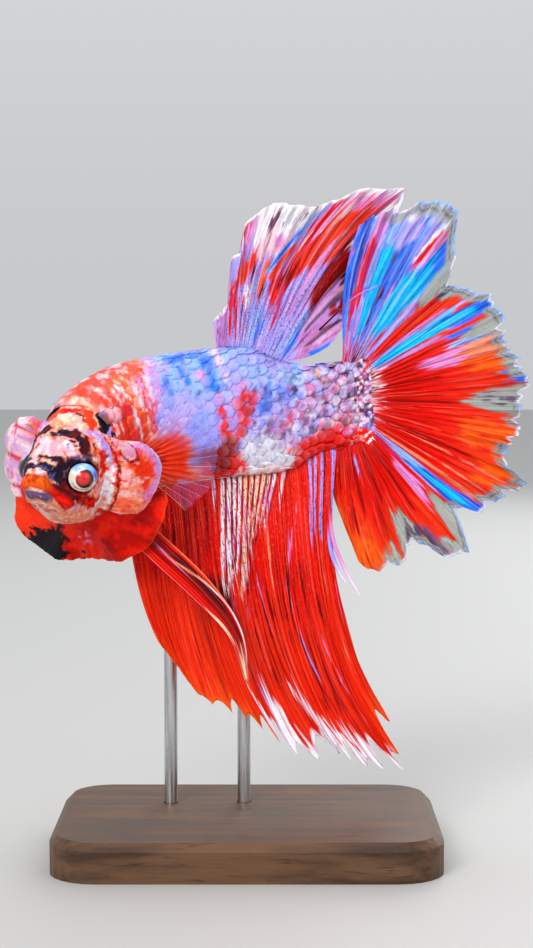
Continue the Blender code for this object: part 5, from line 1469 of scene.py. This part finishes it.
# ---- Belly fin: the long red fin that hangs from the throat back to the tail ----
# The same webbed build, with its web cut back between the ray tips, which end in white points.
ANAL_SPAN = (16.5, 40.0)
ANAL_TIPS = (
    (0.0, -20.3, -3.6, -25.3, -1.0), (0.08, -18.1, -3.4, -28.3, -1.1), (0.18, -15.7, -3.2, -31.2, -1.2),
    (0.28, -12.0, -3.0, -33.2, -1.5), (0.38, -9.0, -2.8, -34.9, -1.8), (0.48, -5.4, -2.5, -37.6, -2.2),
    (0.53, -3.3, -2.3, -38.1, -2.4), (0.57, -2.8, -2.2, -36.3, -2.6), (0.66, -0.4, -2.0, -38.0, -3.0),
    (0.77, 2.8, -1.7, -39.2, -3.6), (0.86, 6.1, -1.4, -39.7, -4.0), (0.9, 5.0, -1.2, -37.2, -3.6),
    (0.95, 4.0, -1.1, -33.7, -2.8), (0.98, 1.0, -1.1, -28.0, -1.8), (1.0, -2.0, -1.2, -18.0, -0.4),
)
ANAL_RAYS = 38
# Pale grainy stripes from the root: where each starts and ends across the fin, in thousandths of
# its width, and how far down it reaches, in percent.
ANAL_STRIPES = (
    (430, 420, 10), (470, 412, 40), (498, 432, 42), (524, 452, 36), (550, 474, 34), (576, 488, 40),
    (604, 512, 34), (632, 540, 28), (660, 566, 24), (684, 612, 17), (710, 642, 14), (752, 720, 8),
    (872, 846, 24), (898, 872, 20), (930, 905, 24),
)
ANAL_MARKS = (
    # The two deep marks at the front, under the throat fins, are painted shadow.
    ("deep", 2, 100, 140, 40, 60, 140, 64), ("deep", 10, 260, 130, 46, 240, 110, 66),
    ("deep", 30, 620, 260, 80, 640, 260, 70), ("maroon", 38, 380, 50, 54, 410, 40, 10),
    ("flame", 52, 160, 160, 92, 240, 200, 25), ("orange", 86, 150, 160, 100, 160, 180, 25),
    ("orange", 90, 340, 100, 100, 340, 120, 25), ("pink", 10, 800, 6, 26, 748, 6, 48),
    ("pink", 24, 748, 6, 42, 716, 7, 45), ("pink", 38, 716, 6, 54, 732, 5, 45),
    ("lavender", 50, 730, 5, 72, 764, 4, 40), ("maroon", 30, 728, 5, 50, 712, 6),
    ("deep", 48, 718, 6, 74, 754, 5), ("pink", 30, 560, 4, 55, 585, 3, 52),
    ("salmon", 20, 650, 4, 50, 640, 3, 50), ("salmon", 40, 480, 4, 70, 500, 3, 48),
    ("pink", 55, 820, 4, 85, 850, 3, 50), ("salmon", 30, 900, 4, 70, 920, 3, 50),
    ("lavender", 0, 985, 14, 64, 985, 10, 10), ("pink", 30, 965, 6, 70, 965, 5, 10),
    ("lavender", 70, 455, 10, 86, 480, 20, 5), ("white", 74, 470, 14, 100, 505, 50, 12),
    ("white", 80, 400, 6, 100, 455, 24, 20), ("white", 74, 560, 6, 86, 580, 12, 10),
    ("blush", 76, 600, 16, 92, 640, 50, 15), ("white", 80, 620, 30, 100, 720, 110, 12),
    ("white", 86, 740, 50, 100, 820, 90, 12), ("red", 80, 500, 6, 97, 520, 6),
    ("red", 80, 655, 6, 97, 710, 6), ("red", 84, 720, 6, 96, 770, 6),
    ("sky", 90, 500, 30, 100, 520, 40, 55), ("orange", 84, 930, 50, 100, 930, 50, 10),
)


def anal_tints(u, v):
    tints = coated("red", len(u))
    stripes, creases = [], []
    for start, end, reach in ANAL_STRIPES:
        name = "cream" if 560 < start < 700 else "white" if start < 800 else "lavender"
        part_way = start + (end - start) * 0.3
        stripes.append((name, 0, start, 9.6, reach, end, 7.6, 12))
        stripes.append(("pink", reach * 0.3, part_way, 6.5, reach * 1.25, end, 5, 58))
        creases.append(("deep", 0, start + 13, 4.5, reach * 1.1, end + 11, 3.5, 30))
    lines = paint_along_rays(tints, u, v, (*stripes, *creases, *ANAL_MARKS), ANAL_RAYS * 2, 121)
    reddish = (tints[:, 0] > 0.5) & (tints[:, 1] < 0.3)
    lay(tints, ("flame", ease(u, 0.3, 0.6) * reddish * 0.45),
        ("deep", ease(lines, 0.66, 0.84) * reddish * 0.45),
        ("flame", ease(lines, 0.44, 0.28) * reddish * 0.8))
    return tints


def anal_margin(v):
    """Shallow notches in front, deep slits between the long ray tips behind."""
    deep = ease(v, 0.36, 0.46) * fade(v, 0.93, 0.97)
    notch = abs(np.sin(math.pi * ANAL_RAYS / 2 * v))
    uneven = noise(np.stack([v * ANAL_RAYS / 2, 0 * v], -1), 1.1, 131)
    shallow = 0.01 + 0.045 * ease(v, 0.12, 0.2)
    return 1 - (shallow + 0.035 * deep) * notch ** (0.8 + 0.6 * deep) * (0.3 + 1.4 * uneven)


def anal_edge(tints, share, v):
    tips = ease(v, 0.4, 0.46) * fade(v, 0.86, 0.9)
    lay(tints, ("orange", ease(share, 0.965, 0.99) * fade(v, 0.34, 0.42) * 0.9),
        ("white", ease(share, 0.96, 0.985) * tips))


build_fin("belly_fin", "fin_red", "fin_anal", ridge_fin_points(ANAL_SPAN, -1, ANAL_TIPS, 0.35), anal_tints,
          anal_margin, ANAL_RAYS, (ANAL_RAYS, 0.9, 0.9, 0.8), grid=(457, 104), wall=(0.14, 0.05), pleat=0.12,
          forks=(0.2,), reach=0.998, girth=(0.1, 0.035), steps=56, edge_tints=anal_edge)

# Two free filaments hang behind the fin's last ray.
FILAMENTS = (
    ("pink", (-2.4, -1.1, -11.0), (-1.9, -1.3, -14.7), (-0.7, -1.4, -17.7), (0.9, -1.5, -20.6)),
    ("lavender", (-2.5, -0.9, -12.6), (-2.2, -1.1, -15.6), (-1.5, -1.2, -17.6), (-0.7, -1.3, -19.1)),
)
FILAMENT_RADIUS = 0.24
t = np.linspace(0, 1, 40)
lines, girths, tints = [], [], []
for name, *places in FILAMENTS:
    lines.append(flow([(i / (len(places) - 1), *place) for i, place in enumerate(places)], t))
    girths.append(FILAMENT_RADIUS * (0.5 + 0.5 * np.sin(math.pi * np.clip(t * 0.9 + 0.08, 0, 1))))
    shades = coated(name, len(t))
    lay(shades, ("red", fade(t, 0.0, 0.25)), ("white", ease(t, 0.45, 0.9) * 0.7))
    tints.append(shades)
bars_along("belly_fin_filaments", lines, girths, tints, 8, "fin_red", "fin_anal")

# ---- Breast fins: clear fans just behind the gill covers ----
# Red at the root and clear towards the edge, with thin rays that part towards their tips.
PECTORAL_STATION, PECTORAL_LENGTH = 13.2, 8.6
PECTORAL_ROOT_ANGLES = (-2.0, -22.0)
PECTORAL_SPREAD = {"left": (50.0, -46.0), "right": (24.0, -70.0)}
PECTORAL_OUT = {"left": 46.0, "right": 34.0}
PECTORAL_RAYS = 13
FIN_STANDOFF = 0.3  # from the flesh to the middle of a paired fin's root
PECTORAL_MARKS = (
    ("salmon", 0, 500, 600, 70, 480, 560), ("coral", 0, 480, 520, 60, 470, 420),
    ("flame", 0, 480, 360, 56, 480, 260, 34), ("deep", 4, 400, 260, 30, 400, 220, 66),
    ("lavender", 62, 420, 240, 100, 410, 260, 5), ("sky", 80, 270, 90, 100, 270, 90, 10),
    ("pink", 50, 860, 140, 100, 860, 140, 10),
)

for side, hand in SIDES:
    back, rightward, upward = (part[0] for part in directions(PECTORAL_STATION))
    top, bottom = (math.radians(angle) for angle in PECTORAL_SPREAD[hand])
    out = math.radians(PECTORAL_OUT[hand])

    def pectoral_points(v, u):
        first, last = (math.radians(angle) for angle in PECTORAL_ROOT_ANGLES)
        right, up = body_outline(np.full(v.shape, PECTORAL_STATION), first + (last - first) * v)
        root = on_body(np.full(v.shape, PECTORAL_STATION), side * (right + FIN_STANDOFF), up)
        lift = (top + (bottom - top) * v)[..., None]
        level = back * math.cos(out) + side * rightward * math.sin(out)
        ray = level * np.cos(lift) + upward * np.sin(lift)
        length = PECTORAL_LENGTH * (0.82 + 0.18 * np.sin(math.pi * v))
        bend = side * rightward * (0.5 * np.sin(math.pi * u) + 0.16 * u * np.sin(6 * math.pi * v))[..., None]
        return root + ray * (length * u)[..., None] + bend

    def pectoral_tints(u, v):
        tints = coated("blush", len(u))
        if hand == "left":
            paint_along_rays(tints, u, v, PECTORAL_MARKS, PECTORAL_RAYS * 2, 141)
        else:
            lay(tints, ("sky", ease(u, 0.2, 0.5)), ("orange", fade(u, 0.1, 0.35)))
        tints[:, 3] = 0.9 - 0.8 * ease(u + 0.42 * ease(abs(v - 0.5), 0.2, 0.5), 0.3, 0.85)
        return tints

    build_fin("breast_fin", "fin_pale", f"fin_pectoral_{hand}", pectoral_points, pectoral_tints,
              lambda v: margin(v, PECTORAL_RAYS, 0.05, 0.9, 151), PECTORAL_RAYS, (PECTORAL_RAYS * 2, 0.2),
              grid=(157, 40), wall=(0.12, 0.05), pleat=0.05, forks=(), reach=0.98, girth=(0.05, 0.014),
              hand="_" + hand, steps=24, lighten=0.12)

# ---- Throat fins: two long narrow red blades with pale front edges ----
# Each is a soft blade on one stiff front ray, hung from the breast.
VENTRAL_STATION = 13.8
VENTRAL_RAYS = 4
VENTRAL_LINE = {
    "left": (
        (0.2, -23.8, -5.9, -11.8, 1.8), (0.42, -19.9, -7.0, -15.2, 2.6), (0.62, -15.5, -7.2, -19.4, 2.4),
        (0.82, -12.2, -7.2, -23.8, 1.4), (1.0, -11.0, -7.0, -28.9, 0.3),
    ),
    "right": (
        (0.25, -24.2, 2.6, -13.0, 1.8), (0.45, -22.4, 4.0, -16.4, 2.4), (0.65, -20.4, 5.0, -20.0, 2.2),
        (0.85, -18.6, 5.6, -23.4, 1.3), (1.0, -17.6, 5.8, -26.4, 0.3),
    ),
}  # place along the blade, its middle line, and its width
VENTRAL_ROOT_OUT, VENTRAL_ROOT_DOWN, VENTRAL_ROOT_WIDTH = 1.3, -0.25, 1.2
VENTRAL_MARKS = (
    # The deep and maroon bands down the blade's middle are painted shade.
    ("deep", 30, 600, 300, 90, 600, 320, 10), ("maroon", 46, 760, 180, 72, 700, 160, 15),
    ("orange", 36, 980, 40, 80, 980, 50, 10), ("white", 68, 980, 50, 86, 960, 60, 10),
    ("pink", 42, 560, 50, 50, 560, 60, 10), ("salmon", 48, 560, 35, 62, 820, 40),
    ("white", 56, 760, 30, 68, 930, 40), ("cream", 72, 40, 80, 86, 60, 90, 10),
    ("cream", 90, 500, 400, 100, 500, 500),
)

for side, hand in SIDES:
    depth = flow(BODY_SECTIONS, VENTRAL_STATION)[0, 1]
    root = on_body(VENTRAL_STATION, side * VENTRAL_ROOT_OUT, -(depth + VENTRAL_ROOT_DOWN))
    blade_rows = [(0.0, *root, VENTRAL_ROOT_WIDTH), *VENTRAL_LINE[hand]]

    def ventral_points(w, t):
        """Across (w) and along (t) the blade."""
        spots = np.linspace(0, 1, 60)
        middle = flow(blade_rows, spots)
        heading = np.gradient(middle[:, :3], axis=0)
        across = np.stack([-heading[:, 2], 0 * spots, heading[:, 0]], -1)
        across /= np.hypot(heading[:, 0], heading[:, 2])[:, None]
        columns = [np.interp(t, spots, part) for part in (*middle.T, *across.T)]
        place, width, crosswise = np.stack(columns[:3], -1), columns[3], np.stack(columns[4:], -1)
        points = place + crosswise * (width * (w - 0.5))[..., None]
        points[..., 1] += 0.22 * np.sin(math.pi * 3 * w) * ease(t, 0.1, 0.4)
        return points

    def ventral_tints(u, v):
        tints = coated("red", len(u))
        lines = paint_along_rays(tints, u, v, VENTRAL_MARKS, 10, 161)
        lay(tints, ("deep", ease(lines, 0.6, 0.8) * 0.5 * (tints[:, 1] < 0.3)))
        return tints

    build_fin("throat_fin", "fin_red", f"fin_ventral_{hand}", ventral_points, ventral_tints,
              lambda v: margin(v, VENTRAL_RAYS, 0.02, 1.0, 171), VENTRAL_RAYS, (VENTRAL_RAYS * 2, 0.5),
              grid=(41, 90), wall=(0.14, 0.06), pleat=0.05, forks=(), reach=0.99, girth=(0.1, 0.035),
              hand="_" + hand, lighten=0.15)

# ---- Stand: an oiled wooden base and two steel rods that hold the body ----
# The solid base and rods are right as they are, and only take their finish here.
base_material, tree, shader = new_material("oiled_walnut")
coords = add(tree, "ShaderNodeTexCoord").outputs["Object"]
stretch = add(tree, "ShaderNodeMapping", Vector=coords, Scale=(18.0, 160.0, 160.0)).outputs[0]
figure = add(tree, "ShaderNodeTexNoise", Vector=stretch, Scale=3.0, Detail=6.0, Roughness=0.62).outputs[0]
pores = add(tree, "ShaderNodeTexNoise", Vector=stretch, Scale=22.0, Detail=2.0).outputs[0]
dents = add(tree, "ShaderNodeBump", Strength=0.25, Distance=0.0001, Height=pores)
wood = color_mix(tree, "MIX", band(tree, figure, 0.34, 0.66), (0.055, 0.026, 0.012, 1),
                 (0.15, 0.075, 0.036, 1))
wood = color_mix(tree, "MULTIPLY", band(tree, pores, 0.6, 0.72, 0.0, 0.55), wood, (0.3, 0.25, 0.2, 1))
fill(shader, Base_Color=wood, Roughness=band(tree, figure, 0.3, 0.7, 0.36, 0.52), Normal=dents.outputs[0])

rod_material, tree, shader = new_material("brushed_steel")
coords = add(tree, "ShaderNodeTexCoord").outputs["Object"]
brushed = add(tree, "ShaderNodeMapping", Vector=coords, Scale=(900.0, 900.0, 40.0)).outputs[0]
scratches = add(tree, "ShaderNodeTexNoise", Vector=brushed, Scale=4.0, Detail=3.0).outputs[0]
steel = color_mix(tree, "MIX", band(tree, scratches, 0.3, 0.7), (0.42, 0.42, 0.43, 1), (0.66, 0.66, 0.67, 1))
fill(shader, Base_Color=steel, Roughness=band(tree, scratches, 0.3, 0.7, 0.24, 0.4), Metallic=1.0)
for node, material in (("stand_base", base_material), ("stand_rod_front", rod_material),
                       ("stand_rod_rear", rod_material)):
    for holder in bpy.data.objects[node].material_slots:
        holder.material = material

# ---- Stage: floor, light and camera ----
# A plain pale floor and soft studio light; the fish is seen from its left, slightly from above.
FLOOR = 1.2  # metres from its middle to its edges
floor_mesh = bpy.data.meshes.new("floor")
corners = [(x * FLOOR, y * FLOOR, 0) for x, y in ((-1, -1), (1, -1), (1, 1), (-1, 1))]
floor_mesh.from_pydata(corners, [], [(0, 1, 2, 3)])
floor = new_object("floor", floor_mesh)
floor_material, _, shader = new_material("pale_floor")
fill(shader, Base_Color=(0.5, 0.5, 0.49, 1), Roughness=0.6)
floor.data.materials.append(floor_material)

world = bpy.data.worlds.new("studio")
world.use_nodes = True
sky = world.node_tree
heading = add(sky, "ShaderNodeTexCoord").outputs["Generated"]
steep = add(sky, "ShaderNodeSeparateXYZ", Vector=heading)
overhead = color_mix(sky, "MIX", band(sky, steep.outputs["Z"], 0.0, 0.3), (0.76, 0.77, 0.79, 1),
                     (0.92, 0.94, 0.96, 1))
fill(sky.nodes["Background"], Color=overhead, Strength=0.66)
bpy.context.scene.world = world
bpy.context.scene.view_settings.view_transform = "Standard"
bpy.context.scene.view_settings.look = "Medium High Contrast"

SUBJECT = Vector((0.002, 0.004, 0.0395))
# Each light: place from the subject, width, and power in watts.
LIGHTS = {
    "key": ((-0.2, -0.38, 0.26), 0.2, 1.35),
    "fill": ((0.34, -0.32, 0.06), 0.34, 0.3),
    "top": ((0.02, 0.06, 0.42), 0.3, 0.45),
    "back": ((0.18, 0.36, 0.18), 0.26, 0.5),
}
for name, (place, width, power) in LIGHTS.items():
    light = bpy.data.lights.new(name, "AREA")
    light.size, light.energy = width, power
    lamp = new_object(name, light)
    lamp.location = SUBJECT + Vector(place)
    lamp.rotation_euler = (-Vector(place)).to_track_quat("-Z", "Y").to_euler()

CAMERA_DISTANCE, CAMERA_PITCH = 0.22, math.radians(4)
VIEW_HEIGHT = 0.1008511  # metres that the view spans at the subject
lens = bpy.data.cameras.new("view")
lens.sensor_fit = "VERTICAL"
lens.sensor_height = 24
lens.lens = lens.sensor_height * CAMERA_DISTANCE / VIEW_HEIGHT
lens.clip_start = 0.01
camera = new_object("view", lens)
camera.location = SUBJECT + CAMERA_DISTANCE * Vector((0, -math.cos(CAMERA_PITCH), math.sin(CAMERA_PITCH)))
camera.rotation_euler = (math.pi / 2 - CAMERA_PITCH, 0, 0)
bpy.context.scene.camera = camera
